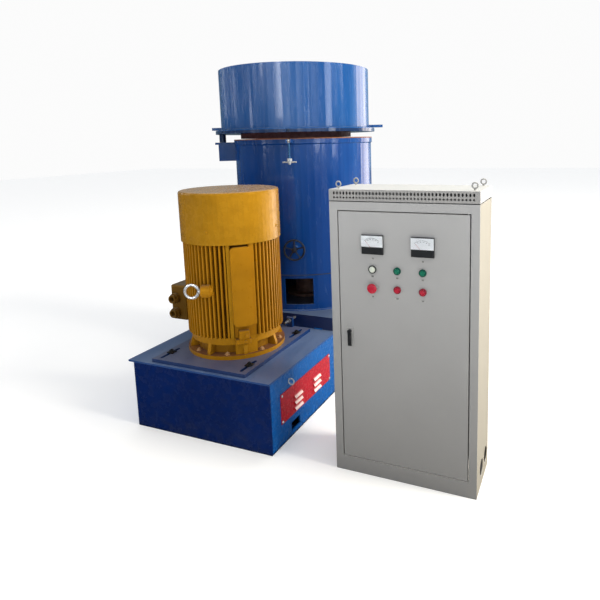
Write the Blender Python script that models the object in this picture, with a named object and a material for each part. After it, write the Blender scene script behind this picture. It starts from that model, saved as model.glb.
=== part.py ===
"""Plastic agglomerating and pelletizing machine with its control cabinet.

A belt-driven rotor turns in an upright steel tank. The tank stands on a low steel
base, beside a vertical flange motor on a slide plate that sets the belt's tension.
A feed hopper swings aside on a vertical pin. The control cabinet stands alone on the
right. Units are metres, +Z is up, -Y is the side that faces the user, and the origin
is on the floor, on the tank's axis.
"""

import math

import bmesh
import bpy
from mathutils import Matrix, Vector

# Clearances
SEAT = 0.0003               # gap left where two pieces rest on each other
RUNNING = 0.0005            # radial play of a pin or a button in its bore
SWING_GAP = 0.006           # space kept round a piece that swings

# Roundness
TANK_STEPS = 72
MOTOR_STEPS = 64
SMALL_STEPS = 16

# Base box
BASE_HEIGHT = 0.457
BASE_LEFT_INSET = 0.072     # inside the tank's outline
BASE_RIGHT_INSET = 0.027
BASE_FRONT_MARGIN = 0.023   # in front of the slide plate
BASE_REAR_MARGIN = 0.004    # behind the tank's stand
BASE_WALL = 0.010
FLOOR_PLATE = 0.010
TOP_PLATE = 0.012
TOP_OVERHANG = 0.045        # on the left side only
CABLE_SLOT_IN = 0.240       # from the base's front
CABLE_SLOT_LENGTH = 0.114
CABLE_SLOT_BOTTOM = 0.035
CABLE_SLOT_HEIGHT = 0.057
RING_BOLT_IN = 0.224        # from the base's front
RING_BOLT_DROP = 0.075      # below the base's top
RING_BOLT_RADIUS = 0.020
RING_BOLT_WIRE = 0.0045

# Louvred belt guard on the right wall
GUARD_IN = 0.118            # from the base's front
GUARD_LENGTH = 0.692
GUARD_BOTTOM = 0.140
GUARD_HEIGHT = 0.195
GUARD_SHEET = 0.004
GUARD_LAP = 0.030           # how far the guard covers the wall round its window
LOUVRE_STARTS = (0.163, 0.430)
LOUVRE_LENGTH = 0.099
LOUVRE_ROWS = 3
LOUVRE_FIRST = 0.018
LOUVRE_PITCH = 0.040
LOUVRE_HEIGHT = 0.024
LOUVRE_DEPTH = 0.014
LOUVRE_SHEET = 0.002

# Motor slide plate and its tension screws
SLIDE_HALF_WIDTH = 0.361
SLIDE_LENGTH = 0.858
SLIDE_BEHIND = 0.0677       # from the slide plate's rear edge to the stand
SLIDE_THICKNESS = 0.024
SLOT_X = 0.310
SLOT_FRONT_REACH = 0.330    # from the motor's axis
SLOT_REAR_REACH = 0.280
SLOT_LENGTH = 0.180
SLOT_WIDTH = 0.022
LUG_X = 0.197
LUG_WIDTH = 0.050
LUG_THICKNESS = 0.022
LUG_HEIGHT = 0.073
SCREW_RADIUS = 0.010
SCREW_RISE = 0.050          # screw axis above the slide plate's top
SCREW_REACH = 0.070         # screw in front of the lug
NUT_RADIUS = 0.018
NUT_THICKNESS = 0.014

# Motor
MOTOR_OFFSET = 0.018        # motor's axis behind the slide plate's middle
MOTOR_FLANGE_RADIUS = 0.330
MOTOR_FLANGE_THICKNESS = 0.026
MOTOR_NECK_RADIUS = 0.262
MOTOR_NECK_HEIGHT = 0.066
MOTOR_COLLAR_RADIUS = 0.302
MOTOR_COLLAR_HEIGHT = 0.046
RIB_COUNT = 8
RIB_THICKNESS = 0.024
RIB_FOOT = 0.014            # height of a rib's outer edge above the flange
FRAME_LENGTH = 0.615
CORE_RADIUS = 0.285
FIN_RADIUS = 0.322
FIN_COUNT = 68
FIN_ROOT = 0.0150
FIN_TIP = 0.0100
FIN_MARGIN = 2.0            # degrees kept free of fins beside a pad
PAD_RADIUS = 0.331
PAD_SIDES = (-57.0, -34.0)
PAD_BOTTOM = 0.080
PAD_TOP = 0.600
PAD_ROUND = 0.028
STEP_END = -29.5            # a lower step runs up the pad's right side, to this angle
STEP_RADIUS = 0.318
BLOCK_RADIUS = 0.306        # grease block under the pad, down to the foot flange
COWL_RADIUS = 0.332
COWL_LENGTH = 0.330
COWL_EDGE = 0.014
EYE_ANGLE = -100.0
EYE_TURN = 35.0             # the ring faces that much further round than its place
EYE_HEIGHT = 0.320          # above the frame's lower end
EYE_RADIUS = 0.043
EYE_WIRE = 0.009
EYE_STANDOFF = 0.372        # ring's middle, from the motor's axis
BOSS_START = 0.060
BOSS_LENGTH = 0.058
BOSS_RADIUS = 0.042
BOSS_EDGE = 0.006
TERMINAL_SIDES = (166.0, 194.0)
TERMINAL_BOTTOM = 0.012
TERMINAL_HEIGHT = 0.255
TERMINAL_OUTER = 0.470
TERMINAL_INNER = 0.338
TERMINAL_HALF_WIDTH = 0.110
TERMINAL_BEVEL = 0.014
TERMINAL_NECK_HALF = 0.075
GLAND_X = -0.425
GLAND_HEIGHTS = (0.055, 0.160)
GLAND_RADIUS = 0.037
GLAND_LENGTH = 0.046
GLAND_BORE = 0.020

# Tank
STAND_SIDE_MARGIN = 0.018   # outside the tank's outline
STAND_END_MARGIN = 0.044
STAND_HEIGHT = 0.0985
STAND_WALL = 0.012
TANK_RADIUS = 0.572
TANK_WALL = 0.008
SKIRT_HEIGHT = 0.2857
SHELL_HEIGHT = 1.0465
BEAD_PROUD = 0.008
BEAD_HEIGHT = 0.033
GASKET_HEIGHT = 0.008
WINDOW_SIDES = (-80.9, -58.5)
WINDOW_RISE = 0.0512        # above the stand
WINDOW_DROP = 0.0265        # below the seam
TANK_FLOOR = 0.016

# Rotor and its bearing housing
SHAFT_RADIUS = 0.035
SHAFT_DEPTH = 0.200
HOUSING_RADIUS = 0.115
HOUSING_FOOT = 0.190
HOUSING_HEAD = 0.150
HOUSING_FLANGE = 0.022
HUB_RADIUS = 0.100
HUB_HEIGHT = 0.085
ROTOR_LIFT = 0.004
KNIFE_CLEARANCE = 0.034     # from the knife's tip to the tank's wall
KNIFE_ROOT = 0.060
KNIFE_END = 0.034
KNIFE_HEIGHT = 0.022
KNIFE_EDGE = 0.012

# Handwheel
WHEEL_ANGLE = -71.0
WHEEL_RISE = 0.2135         # above the seam
WHEEL_RADIUS = 0.077
WHEEL_WIRE = 0.008
WHEEL_SPOKES = 5
SPOKE_RADIUS = 0.006
WHEEL_HUB = 0.019
WHEEL_HUB_LENGTH = 0.038
WHEEL_BOSS = 0.026
WHEEL_BOSS_LENGTH = 0.044
WHEEL_STEM = 0.009
WHEEL_STEM_LENGTH = 0.024

# Feed hopper and its hinge
HOPPER_CENTRE = (-0.053, -0.029)
HOPPER_SPREAD = 0.045       # wider than the tank
HOPPER_WALL = 0.006
HOPPER_LIFT = 0.052         # above the tank's rim
HOPPER_HEIGHT = 0.504
HOPPER_FLANGE_WIDTH = 0.047
HOPPER_FLANGE_HEIGHT = 0.028
NECK_INSET = 0.109          # narrower than the tank
NECK_WALL = 0.008
TAB_WIDTH = 0.060
TAB_THICKNESS = 0.022
TAB_LIFT = 0.007
TAB_RIGHT_LENGTH = 0.120
TAB_LEFT_LENGTH = 0.079
HINGE_ANGLE = 208.0
SLEEVE_RADIUS = 0.0275
PIN_RADIUS = 0.0155
BRACKET_LENGTH = 0.137
BRACKET_WIDTH = 0.090
BRACKET_HEIGHT = 0.142
BRACKET_DROP = 0.024        # below the tank's rim
BRACKET_SHELF = 0.012
SHELF_LENGTH = 0.165

# Swing bolts that clamp the hopper
CLAMP_ANGLES = {"clamp_bolt_front": -71.5, "clamp_bolt_rear": 127.5}
CLAMP_PIVOT_OUT = 0.083     # outside the tank
CLAMP_PIVOT_DROP = 0.013    # below its rim
CLAMP_SHANK = 0.008
CLAMP_LENGTH = 0.172
CLAMP_EYE = 0.0125
CLAMP_EYE_HALF = 0.009
CLAMP_PIN = 0.005
CLAMP_NUT = 0.019
CLAMP_NUT_PLACE = 0.128
CLAMP_NUT_THICKNESS = 0.020
CLAMP_BAR_PLACE = 0.1545
CLAMP_BAR = 0.006
CLAMP_BAR_HALF = 0.052
LUG_GAP = 0.0115
LUG_PLATE = 0.010
LUG_DROP = 0.026            # below the tank's rim
LUG_LENGTH = 0.100
NOTCH_HALF = 0.013

# Control cabinet
CABINET_AISLE = 0.409       # from the base to the cabinet
CABINET_SETBACK = 0.039     # behind the base's front
CABINET_WIDTH = 0.800
CABINET_DEPTH = 0.348
CABINET_HEIGHT = 1.613
CABINET_SHEET = 0.002
ROOF_HEIGHT = 0.065
ROOF_NECK = 0.005
ROOF_INSET = 0.006
DOOR_LEFT_MARGIN = 0.052
DOOR_RIGHT_MARGIN = 0.048
DOOR_BOTTOM = 0.095
DOOR_TOP_MARGIN = 0.051
DOOR_DEPTH = 0.020
DOOR_STILE = 0.018
RETURN_DEPTH = 0.022
PIVOT_INSET = 0.008         # hinge axis from the door's right edge
PIVOT_DEPTH = 0.006         # hinge axis behind the door's face
PIVOT_RADIUS = 0.003
PIVOT_LENGTH = 0.014
CABINET_FLOOR = 0.020
CABLE_HOLE = 0.045
CABLE_HOLE_Z = 0.103
CABLE_HOLES_IN = (0.139, 0.268)    # from the cabinet's front
ROOF_EYE = 0.014
ROOF_EYE_WIRE = 0.004
ROOF_EYE_STEM = 0.010
ROOF_EYE_IN = (0.035, 0.050)
MOUNTING_MARGIN = 0.050
MOUNTING_BOTTOM = 0.250
MOUNTING_DROP = 0.098       # below the body's top
MOUNTING_STANDOFF = 0.040
STUD_RADIUS = 0.006

# Instruments on the door
METERS_IN = {"panel_meter_left": 0.2460, "panel_meter_right": 0.5165}    # from the cabinet's left
METER_WIDTH = 0.120
METER_HEIGHT = 0.103
METER_DROP = 0.222          # from the door's top to a meter's foot
METER_PROUD = 0.014
METER_BEVEL = 0.004
METER_COVER = 0.038         # height of the thicker lower part
METER_COVER_PROUD = 0.003
METER_DRUM = 0.039
METER_DRUM_LENGTH = 0.055
COLUMN_IN = 0.243           # first column, from the cabinet's left
COLUMN_PITCH = 0.1365
ROW_DROPS = {"upper": 0.304, "lower": 0.405}     # below the door's top
BEZEL_RADIUS = 0.019
BEZEL_PROUD = 0.008
BEZEL_TAIL = 0.030
TAIL_RADIUS = 0.0160
BUTTON_RADIUS = 0.0130
BUTTON_PROUD = 0.014
BUTTON_TAIL = 0.024
MUSHROOM_RADIUS = 0.027
MUSHROOM_PROUD = 0.029
MUSHROOM_GAP = 0.008
LAMP_RADIUS = 0.022
LAMP_LENS = 0.016
LAMP_PROUD = 0.016
LAMP_STEM = 0.011
LOCK_IN = 0.105             # from the cabinet's left
LOCK_DROP = 0.751           # from the door's top to the lock plate's foot
LOCK_WIDTH = 0.037
LOCK_HEIGHT = 0.112
LOCK_PROUD = 0.004
LEVER_RISE = 0.092          # pivot above the lock plate's foot
LEVER_WIDTH = 0.022
LEVER_DROP = 0.082
LEVER_THICKNESS = 0.009
LEVER_STANDOFF = 0.005
LEVER_SIDE = 0.001          # the bar is that much narrower than its boss on each side
LEVER_ROUND = 0.002

# Heights that follow
SLIDE_TOP = BASE_HEIGHT + SEAT + SLIDE_THICKNESS
MOTOR_FOOT = SLIDE_TOP + SEAT
MOTOR_FLANGE_TOP = MOTOR_FOOT + MOTOR_FLANGE_THICKNESS
MOTOR_NECK_TOP = MOTOR_FLANGE_TOP + MOTOR_NECK_HEIGHT
FRAME_BOTTOM = MOTOR_NECK_TOP + MOTOR_COLLAR_HEIGHT + SEAT
FRAME_TOP = FRAME_BOTTOM + FRAME_LENGTH
COWL_BOTTOM = FRAME_TOP + SEAT
STAND_BOTTOM = BASE_HEIGHT + SEAT
STAND_TOP = STAND_BOTTOM + STAND_HEIGHT
SKIRT_BOTTOM = STAND_TOP + SEAT
TANK_SEAM = STAND_TOP + SKIRT_HEIGHT
TANK_RIM = TANK_SEAM + SHELL_HEIGHT
FLOOR_BOTTOM = TANK_SEAM + SEAT
FLOOR_TOP = FLOOR_BOTTOM + TANK_FLOOR
GASKET_BOTTOM = TANK_RIM + SEAT
GASKET_TOP = GASKET_BOTTOM + GASKET_HEIGHT
WHEEL_HEIGHT = TANK_SEAM + WHEEL_RISE
CLAMP_PIVOT_HEIGHT = TANK_RIM - CLAMP_PIVOT_DROP
BRACKET_TOP = TANK_RIM - BRACKET_DROP
BRACKET_BOTTOM = BRACKET_TOP - BRACKET_HEIGHT
SHELF_TOP = BRACKET_TOP + BRACKET_SHELF
HOPPER_BOTTOM = TANK_RIM + HOPPER_LIFT
FLANGE_TOP = HOPPER_BOTTOM + HOPPER_FLANGE_HEIGHT
HOPPER_TOP = HOPPER_BOTTOM + HOPPER_HEIGHT
BODY_TOP = CABINET_HEIGHT - ROOF_HEIGHT
MOUNTING_TOP = BODY_TOP - MOUNTING_DROP
DOOR_TOP = BODY_TOP - DOOR_TOP_MARGIN
METER_BOTTOM = DOOR_TOP - METER_DROP
LOCK_BOTTOM = DOOR_TOP - LOCK_DROP
LEVER_PIVOT = LOCK_BOTTOM + LEVER_RISE

# Radii and places that follow
TANK_INNER = TANK_RADIUS - TANK_WALL
KNIFE_REACH = TANK_INNER - KNIFE_CLEARANCE
HOPPER_RADIUS = TANK_RADIUS + HOPPER_SPREAD
HOPPER_FLANGE = HOPPER_RADIUS + HOPPER_FLANGE_WIDTH
NECK_RADIUS = TANK_RADIUS - NECK_INSET
CLAMP_PIVOT_RADIUS = TANK_RADIUS + CLAMP_PIVOT_OUT
WHEEL_BOSS_END = TANK_RADIUS + WHEEL_BOSS_LENGTH
STAND_HALF_WIDTH = TANK_RADIUS + STAND_SIDE_MARGIN
STAND_HALF_DEPTH = TANK_RADIUS + STAND_END_MARGIN
SLIDE_REAR = -STAND_HALF_DEPTH - SEAT - SLIDE_BEHIND
SLIDE_FRONT = SLIDE_REAR - SLIDE_LENGTH
MOTOR_Y = (SLIDE_FRONT + SLIDE_REAR) / 2 + MOTOR_OFFSET
BASE_LEFT = -TANK_RADIUS + BASE_LEFT_INSET
BASE_RIGHT = TANK_RADIUS - BASE_RIGHT_INSET
BASE_FRONT = SLIDE_FRONT - BASE_FRONT_MARGIN
BASE_REAR = STAND_HALF_DEPTH + BASE_REAR_MARGIN
TOP_LEFT = BASE_LEFT - TOP_OVERHANG
GUARD_FRONT = BASE_FRONT + GUARD_IN
CABINET_LEFT = BASE_RIGHT + CABINET_AISLE
CABINET_RIGHT = CABINET_LEFT + CABINET_WIDTH
CABINET_FRONT = BASE_FRONT + CABINET_SETBACK
CABINET_BACK = CABINET_FRONT + CABINET_DEPTH
DOOR_LEFT = CABINET_LEFT + DOOR_LEFT_MARGIN
DOOR_RIGHT = CABINET_RIGHT - DOOR_RIGHT_MARGIN
LOCK_X = CABINET_LEFT + LOCK_IN


def paint(name, colour, roughness, metallic=0.0):
    """A Principled material."""
    material = bpy.data.materials.new(name)
    material.use_nodes = True
    shader = material.node_tree.nodes["Principled BSDF"]
    shader.inputs["Base Color"].default_value = (*colour, 1.0)
    shader.inputs["Roughness"].default_value = roughness
    shader.inputs["Metallic"].default_value = metallic
    material.diffuse_color = (*colour, 1.0)
    return material


def polar(radius, degrees, height=0.0):
    """The point at a radius and an angle round the Z axis."""
    angle = math.radians(degrees)
    return Vector((radius * math.cos(angle), radius * math.sin(angle), height))


def ring(radius, height, steps, start=0.0):
    """Points of a level circle."""
    return [polar(radius, start + 360.0 * k / steps, height) for k in range(steps)]


def rectangle(low, high, height):
    """The four corners of a level rectangle."""
    corners = ((low[0], low[1]), (high[0], low[1]), (high[0], high[1]), (low[0], high[1]))
    return [Vector((x, y, height)) for x, y in corners]


def loft(loops, closed=False):
    """A skin through loops of equal length: ends capped, or joined to each other when closed."""
    shape = bmesh.new()
    rows = [[shape.verts.new(point) for point in loop] for loop in loops]
    count = len(rows[0])
    pairs = list(zip(rows, rows[1:]))
    if closed:
        pairs.append((rows[-1], rows[0]))
    for near, far in pairs:
        for k in range(count):
            following = (k + 1) % count
            shape.faces.new((near[k], near[following], far[following], far[k]))
    if not closed:
        shape.faces.new(rows[0])
        shape.faces.new(rows[-1])
    bmesh.ops.recalc_face_normals(shape, faces=shape.faces)
    return shape


def turned(profile, steps):
    """A shape turned round the Z axis from (radius, height) points. It may start and end on the axis."""
    solid = profile[0][0] == 0.0
    if solid:
        rims = profile[1:-1]
        return loft([ring(radius, height, steps) for radius, height in rims])
    return loft([ring(radius, height, steps) for radius, height in profile], closed=True)


def block(low, high):
    """A box between two corners."""
    return loft([rectangle(low, high, low[2]), rectangle(low, high, high[2])])


def rod(radius, bottom, top, steps=SMALL_STEPS):
    """A round bar along the Z axis."""
    return loft([ring(radius, bottom, steps), ring(radius, top, steps)])


def hexagon_bar(radius, bottom, top):
    """A hexagonal bar along the Z axis."""
    return rod(radius, bottom, top, 6)


def torus(radius, wire, steps=24, sides=8):
    """A ring of round wire in the XY plane."""
    profile = [(radius + wire * math.cos(math.tau * k / sides), wire * math.sin(math.tau * k / sides))
               for k in range(sides)]
    return turned(profile, steps)


def sector(inner, outer, sides, bottom, top):
    """A block between two radii and two angles, with arcs of about four degrees a step."""
    steps = max(2, round((sides[1] - sides[0]) / 4.0))
    angles = [sides[0] + (sides[1] - sides[0]) * k / steps for k in range(steps + 1)]
    outline = [polar(outer, angle) for angle in angles] + [polar(inner, angle) for angle in reversed(angles)]
    return prism([(point.x, point.y) for point in outline], bottom, top)


def prism(outline, bottom, top):
    """An outline in the XY plane carried up the Z axis."""
    return loft([[Vector((x, y, height)) for x, y in outline] for height in (bottom, top)])


def pierced(outline, holes, bottom, top):
    """A plate in the XY plane with holes right through it."""
    shape = bmesh.new()
    for loop in [outline] + holes:
        corners = [shape.verts.new((x, y, bottom)) for x, y in loop]
        for first, second in zip(corners, corners[1:] + corners[:1]):
            shape.edges.new((first, second))
    filled = bmesh.ops.triangle_fill(shape, edges=shape.edges, use_beauty=True)
    faces = [part for part in filled["geom"] if isinstance(part, bmesh.types.BMFace)]
    grown = bmesh.ops.extrude_face_region(shape, geom=faces, use_keep_orig=True)
    raised = [part for part in grown["geom"] if isinstance(part, bmesh.types.BMVert)]
    bmesh.ops.translate(shape, verts=raised, vec=(0.0, 0.0, top - bottom))
    bmesh.ops.recalc_face_normals(shape, faces=shape.faces)
    return shape


def outline_rectangle(left, right, bottom, top):
    """A rectangle as (x, y) points."""
    return [(left, bottom), (right, bottom), (right, top), (left, top)]


def outline_circle(x, y, radius, steps=SMALL_STEPS):
    """A circle as (x, y) points."""
    return [(x + point.x, y + point.y) for point in ring(radius, 0.0, steps)]


def outline_slot(x, y, length, width, steps=6):
    """A slot with round ends that runs along Y."""
    straight = length / 2 - width / 2
    points = []
    for end, start in ((straight, 0.0), (-straight, 180.0)):
        for k in range(steps + 1):
            point = polar(width / 2, start + 180.0 * k / steps)
            points.append((x + point.x, y + end + point.y))
    return points


def placed(shape, matrix):
    """The same shape, moved."""
    shape.transform(matrix)
    return shape


def facing_out(degrees, centre=(0.0, 0.0), height=0.0):
    """A frame on the tank: X runs round it, Y is up and Z points straight out."""
    out = polar(1.0, degrees)
    around = Vector((-out.y, out.x, 0.0))
    matrix = Matrix((around, Vector((0.0, 0.0, 1.0)), out)).transposed().to_4x4()
    matrix.translation = Vector((centre[0], centre[1], height))
    return matrix


def facing_front(x, y, z):
    """A frame on a front face: X to the right, Y is up and Z points at the user."""
    return Matrix(((1.0, 0.0, 0.0, x), (0.0, 0.0, -1.0, y), (0.0, 1.0, 0.0, z), (0.0, 0.0, 0.0, 1.0)))


def facing_right(x, y, z):
    """A frame on a right wall: X runs to the back, Y is up and Z points to the right."""
    return Matrix(((0.0, 0.0, 1.0, x), (1.0, 0.0, 0.0, y), (0.0, 1.0, 0.0, z), (0.0, 0.0, 0.0, 1.0)))


def gathered(shapes):
    """Several shapes that don't touch, as one."""
    whole = bmesh.new()
    for shape in shapes:
        mesh = bpy.data.meshes.new("gathered")
        shape.to_mesh(mesh)
        whole.from_mesh(mesh)
        bpy.data.meshes.remove(mesh)
        shape.free()
    return whole


def scratch_object(shape):
    """A shape as an object that a Boolean can read."""
    mesh = bpy.data.meshes.new("scratch")
    shape.to_mesh(mesh)
    shape.free()
    thing = bpy.data.objects.new("scratch", mesh)
    bpy.context.collection.objects.link(thing)
    return thing


def combined(body, tool, operation):
    """The body joined with the tool, or cut by it."""
    host = scratch_object(body)
    other = scratch_object(tool)
    modifier = host.modifiers.new("combine", "BOOLEAN")
    modifier.operation = operation
    modifier.solver = "EXACT"
    modifier.object = other
    result = bmesh.new()
    result.from_object(host, bpy.context.evaluated_depsgraph_get())
    for thing in (host, other):
        bpy.data.objects.remove(thing, do_unlink=True)
    bmesh.ops.remove_doubles(result, verts=result.verts, dist=0.00001)
    return result


def joined(body, *tools):
    """The body with each tool added in turn."""
    for tool in tools:
        body = combined(body, tool, "UNION")
    return body


def cut(body, *tools):
    """The body with each tool taken away in turn."""
    for tool in tools:
        body = combined(body, tool, "DIFFERENCE")
    return body


def piece(name, shape, material, origin=None):
    """The shape as a named object, with its origin on its joint's axis when it moves."""
    mesh = bpy.data.meshes.new(name)
    if origin is not None:
        shape.transform(Matrix.Translation(-Vector(origin)))
    shape.to_mesh(mesh)
    shape.free()
    mesh.shade_smooth()
    mesh.set_sharp_from_angle(angle=math.radians(35.0))
    mesh.materials.append(material)
    thing = bpy.data.objects.new(name, mesh)
    bpy.context.collection.objects.link(thing)
    if origin is not None:
        thing.location = origin
    return thing


def side_wall(x, holes):
    """A side wall of the base, between the front and rear walls, as seen from the right."""
    outline = outline_rectangle(BASE_FRONT + BASE_WALL + SEAT, BASE_REAR - BASE_WALL - SEAT,
                                FLOOR_PLATE + SEAT, BASE_HEIGHT - TOP_PLATE - SEAT)
    return placed(pierced(outline, holes, 0.0, BASE_WALL), facing_right(x, 0.0, 0.0))


def ring_bolt(x, outward):
    """A small lifting ring that stands out of a side wall."""
    loop = torus(RING_BOLT_RADIUS, RING_BOLT_WIRE, SMALL_STEPS, 6)
    centre = Vector((x + outward * RING_BOLT_RADIUS, BASE_FRONT + RING_BOLT_IN, BASE_HEIGHT - RING_BOLT_DROP))
    return placed(loop, Matrix.Translation(centre) @ Matrix.Rotation(math.pi / 2, 4, "X"))


def build_base(navy, blue, top_paint):
    """The welded box that carries the motor and the tank."""
    floor = block((BASE_LEFT, BASE_FRONT, 0.0), (BASE_RIGHT, BASE_REAR, FLOOR_PLATE))
    piece("base_floor_plate", floor, navy)
    bottom = FLOOR_PLATE + SEAT
    top = BASE_HEIGHT - TOP_PLATE - SEAT
    for name, front in (("base_front_wall", BASE_FRONT), ("base_rear_wall", BASE_REAR - BASE_WALL)):
        wall = block((BASE_LEFT, front, bottom), (BASE_RIGHT, front + BASE_WALL, top))
        piece(name, wall, blue)
    left = joined(side_wall(BASE_LEFT, []), ring_bolt(BASE_LEFT, -1.0))
    piece("base_left_wall", left, blue)
    window = outline_rectangle(GUARD_FRONT + GUARD_LAP, GUARD_FRONT + GUARD_LENGTH - GUARD_LAP,
                               GUARD_BOTTOM + GUARD_LAP / 2, GUARD_BOTTOM + GUARD_HEIGHT - GUARD_LAP)
    slot_front = BASE_FRONT + CABLE_SLOT_IN
    slot = outline_rectangle(slot_front, slot_front + CABLE_SLOT_LENGTH,
                             CABLE_SLOT_BOTTOM, CABLE_SLOT_BOTTOM + CABLE_SLOT_HEIGHT)
    right = side_wall(BASE_RIGHT - BASE_WALL, [slot, window])
    piece("base_right_wall", joined(right, ring_bolt(BASE_RIGHT, 1.0)), blue)
    plate = block((TOP_LEFT, BASE_FRONT, BASE_HEIGHT - TOP_PLATE), (BASE_RIGHT, BASE_REAR, BASE_HEIGHT))
    piece("base_top_plate", plate, top_paint)


def build_guard(red):
    """The belt guard: a flat cover with two banks of hooded louvres that open downwards."""
    hoods = []
    hollows = []
    sheet = GUARD_SHEET
    for start in LOUVRE_STARTS:
        for row in range(LOUVRE_ROWS):
            low = LOUVRE_FIRST + row * LOUVRE_PITCH
            high = low + LOUVRE_HEIGHT
            lip = low + LOUVRE_SHEET
            outer = sheet + LOUVRE_DEPTH
            hood = [(low, sheet / 2), (low, outer), (lip, outer), (high, sheet / 2)]
            mouth = [(low - LOUVRE_SHEET, sheet + LOUVRE_SHEET / 2),
                     (low - LOUVRE_SHEET, outer - LOUVRE_SHEET),
                     (lip, outer - LOUVRE_SHEET),
                     (high - 2 * LOUVRE_SHEET, sheet / 2),
                     (high - 2 * LOUVRE_SHEET, -sheet),
                     (low + LOUVRE_SHEET, -sheet),
                     (low + LOUVRE_SHEET, sheet + LOUVRE_SHEET / 2)]
            hoods.append(prism(hood, start, start + LOUVRE_LENGTH))
            hollows.append(prism(mouth, start + LOUVRE_SHEET, start + LOUVRE_LENGTH - LOUVRE_SHEET))
    plate = prism(outline_rectangle(0.0, GUARD_HEIGHT, 0.0, sheet), 0.0, GUARD_LENGTH)
    guard = cut(joined(plate, gathered(hoods)), gathered(hollows))
    stand_up = Matrix(((0.0, 1.0, 0.0, BASE_RIGHT + SEAT), (0.0, 0.0, 1.0, GUARD_FRONT),
                       (1.0, 0.0, 0.0, GUARD_BOTTOM), (0.0, 0.0, 0.0, 1.0)))
    piece("belt_guard", placed(guard, stand_up), red)


def build_slide(top_paint, zinc):
    """The slotted plate under the motor, and the two screws that tighten the belts."""
    slots = [outline_slot(x, y, SLOT_LENGTH, SLOT_WIDTH)
             for x in (-SLOT_X, SLOT_X) for y in (MOTOR_Y - SLOT_FRONT_REACH, MOTOR_Y + SLOT_REAR_REACH)]
    outline = outline_rectangle(-SLIDE_HALF_WIDTH, SLIDE_HALF_WIDTH, SLIDE_FRONT, SLIDE_REAR)
    plate = pierced(outline, slots, BASE_HEIGHT + SEAT, SLIDE_TOP)
    axis_height = SLIDE_TOP + SCREW_RISE
    lug_front = SLIDE_REAR - LUG_THICKNESS
    stand_front = -STAND_HALF_DEPTH - SEAT
    for name, x in (("tension_screw_left", -LUG_X), ("tension_screw_right", LUG_X)):
        lug_outline = outline_rectangle(-LUG_WIDTH / 2, LUG_WIDTH / 2, -SCREW_RISE - SLIDE_THICKNESS / 2,
                                        LUG_HEIGHT - SCREW_RISE)
        bore = outline_circle(0.0, 0.0, SCREW_RADIUS + SEAT)
        lug = pierced(lug_outline, [bore], 0.0, LUG_THICKNESS)
        plate = joined(plate, placed(lug, facing_front(x, SLIDE_REAR, axis_height)))
        screw = joined(rod(SCREW_RADIUS, stand_front * -1.0, -lug_front + SCREW_REACH),
                       hexagon_bar(NUT_RADIUS, -lug_front + SEAT, -lug_front + SEAT + NUT_THICKNESS),
                       hexagon_bar(NUT_RADIUS, -SLIDE_REAR - SEAT - NUT_THICKNESS, -SLIDE_REAR - SEAT))
        piece(name, placed(screw, facing_front(x, 0.0, axis_height)), zinc)
    piece("motor_slide_plate", plate, top_paint)


def build_motor_flange(yellow):
    """The round foot flange, its neck and the ribs between them."""
    body = turned([(0.0, MOTOR_FOOT), (MOTOR_FLANGE_RADIUS, MOTOR_FOOT),
                   (MOTOR_FLANGE_RADIUS, MOTOR_FLANGE_TOP),
                   (MOTOR_NECK_RADIUS, MOTOR_FLANGE_TOP), (MOTOR_NECK_RADIUS, MOTOR_NECK_TOP),
                   (MOTOR_COLLAR_RADIUS, MOTOR_NECK_TOP),
                   (MOTOR_COLLAR_RADIUS, MOTOR_NECK_TOP + MOTOR_COLLAR_HEIGHT),
                   (0.0, MOTOR_NECK_TOP + MOTOR_COLLAR_HEIGHT)], MOTOR_STEPS)
    sink = MOTOR_FLANGE_THICKNESS / 4
    foot = MOTOR_FLANGE_TOP - sink
    head = MOTOR_NECK_TOP + MOTOR_COLLAR_HEIGHT / 2
    outer = MOTOR_FLANGE_RADIUS - RIB_THICKNESS / 2
    inner = MOTOR_NECK_RADIUS - RIB_THICKNESS
    crown = MOTOR_COLLAR_RADIUS - sink
    toe = MOTOR_FLANGE_TOP + RIB_FOOT
    profile = [(inner, foot), (outer, foot), (outer, toe), (crown, head), (inner, head)]
    ribs = []
    for k in range(RIB_COUNT):
        sheets = [[Vector((radius, side * RIB_THICKNESS / 2, height)) for radius, height in profile]
                  for side in (-1.0, 1.0)]
        ribs.append(placed(loft(sheets), Matrix.Rotation(math.tau * k / RIB_COUNT, 4, "Z")))
    block_sides = (PAD_SIDES[0], STEP_END)
    grease_block = sector(inner, BLOCK_RADIUS, block_sides, foot, head)
    body = joined(body, gathered(ribs), grease_block)
    piece("motor_flange", placed(body, Matrix.Translation((0.0, MOTOR_Y, 0.0))), yellow)


def fin_outline():
    """The frame's cross-section: a round core with tapered fins, left smooth under the pads."""
    points = []
    for k in range(FIN_COUNT):
        angle = 360.0 * k / FIN_COUNT - 180.0
        under_pad = PAD_SIDES[0] - FIN_MARGIN < angle < STEP_END + FIN_MARGIN
        under_box = abs(angle) > TERMINAL_SIDES[0] - FIN_MARGIN
        if under_pad or under_box:
            points.append(polar(CORE_RADIUS, angle))
            continue
        root = math.degrees(FIN_ROOT / 2 / CORE_RADIUS)
        tip = math.degrees(FIN_TIP / 2 / FIN_RADIUS)
        points.append(polar(CORE_RADIUS, angle - root))
        points.append(polar(FIN_RADIUS, angle - tip))
        points.append(polar(FIN_RADIUS, angle + tip))
        points.append(polar(CORE_RADIUS, angle + root))
    return [(point.x, point.y) for point in points]


def eye_frame():
    """A frame at the middle of the lifting eye: X along its shank, Y is up and Z along the ring's axis."""
    middle = polar(EYE_STANDOFF, EYE_ANGLE)
    return facing_out(EYE_ANGLE + EYE_TURN, (middle.x, MOTOR_Y + middle.y), FRAME_BOTTOM + EYE_HEIGHT)


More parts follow.
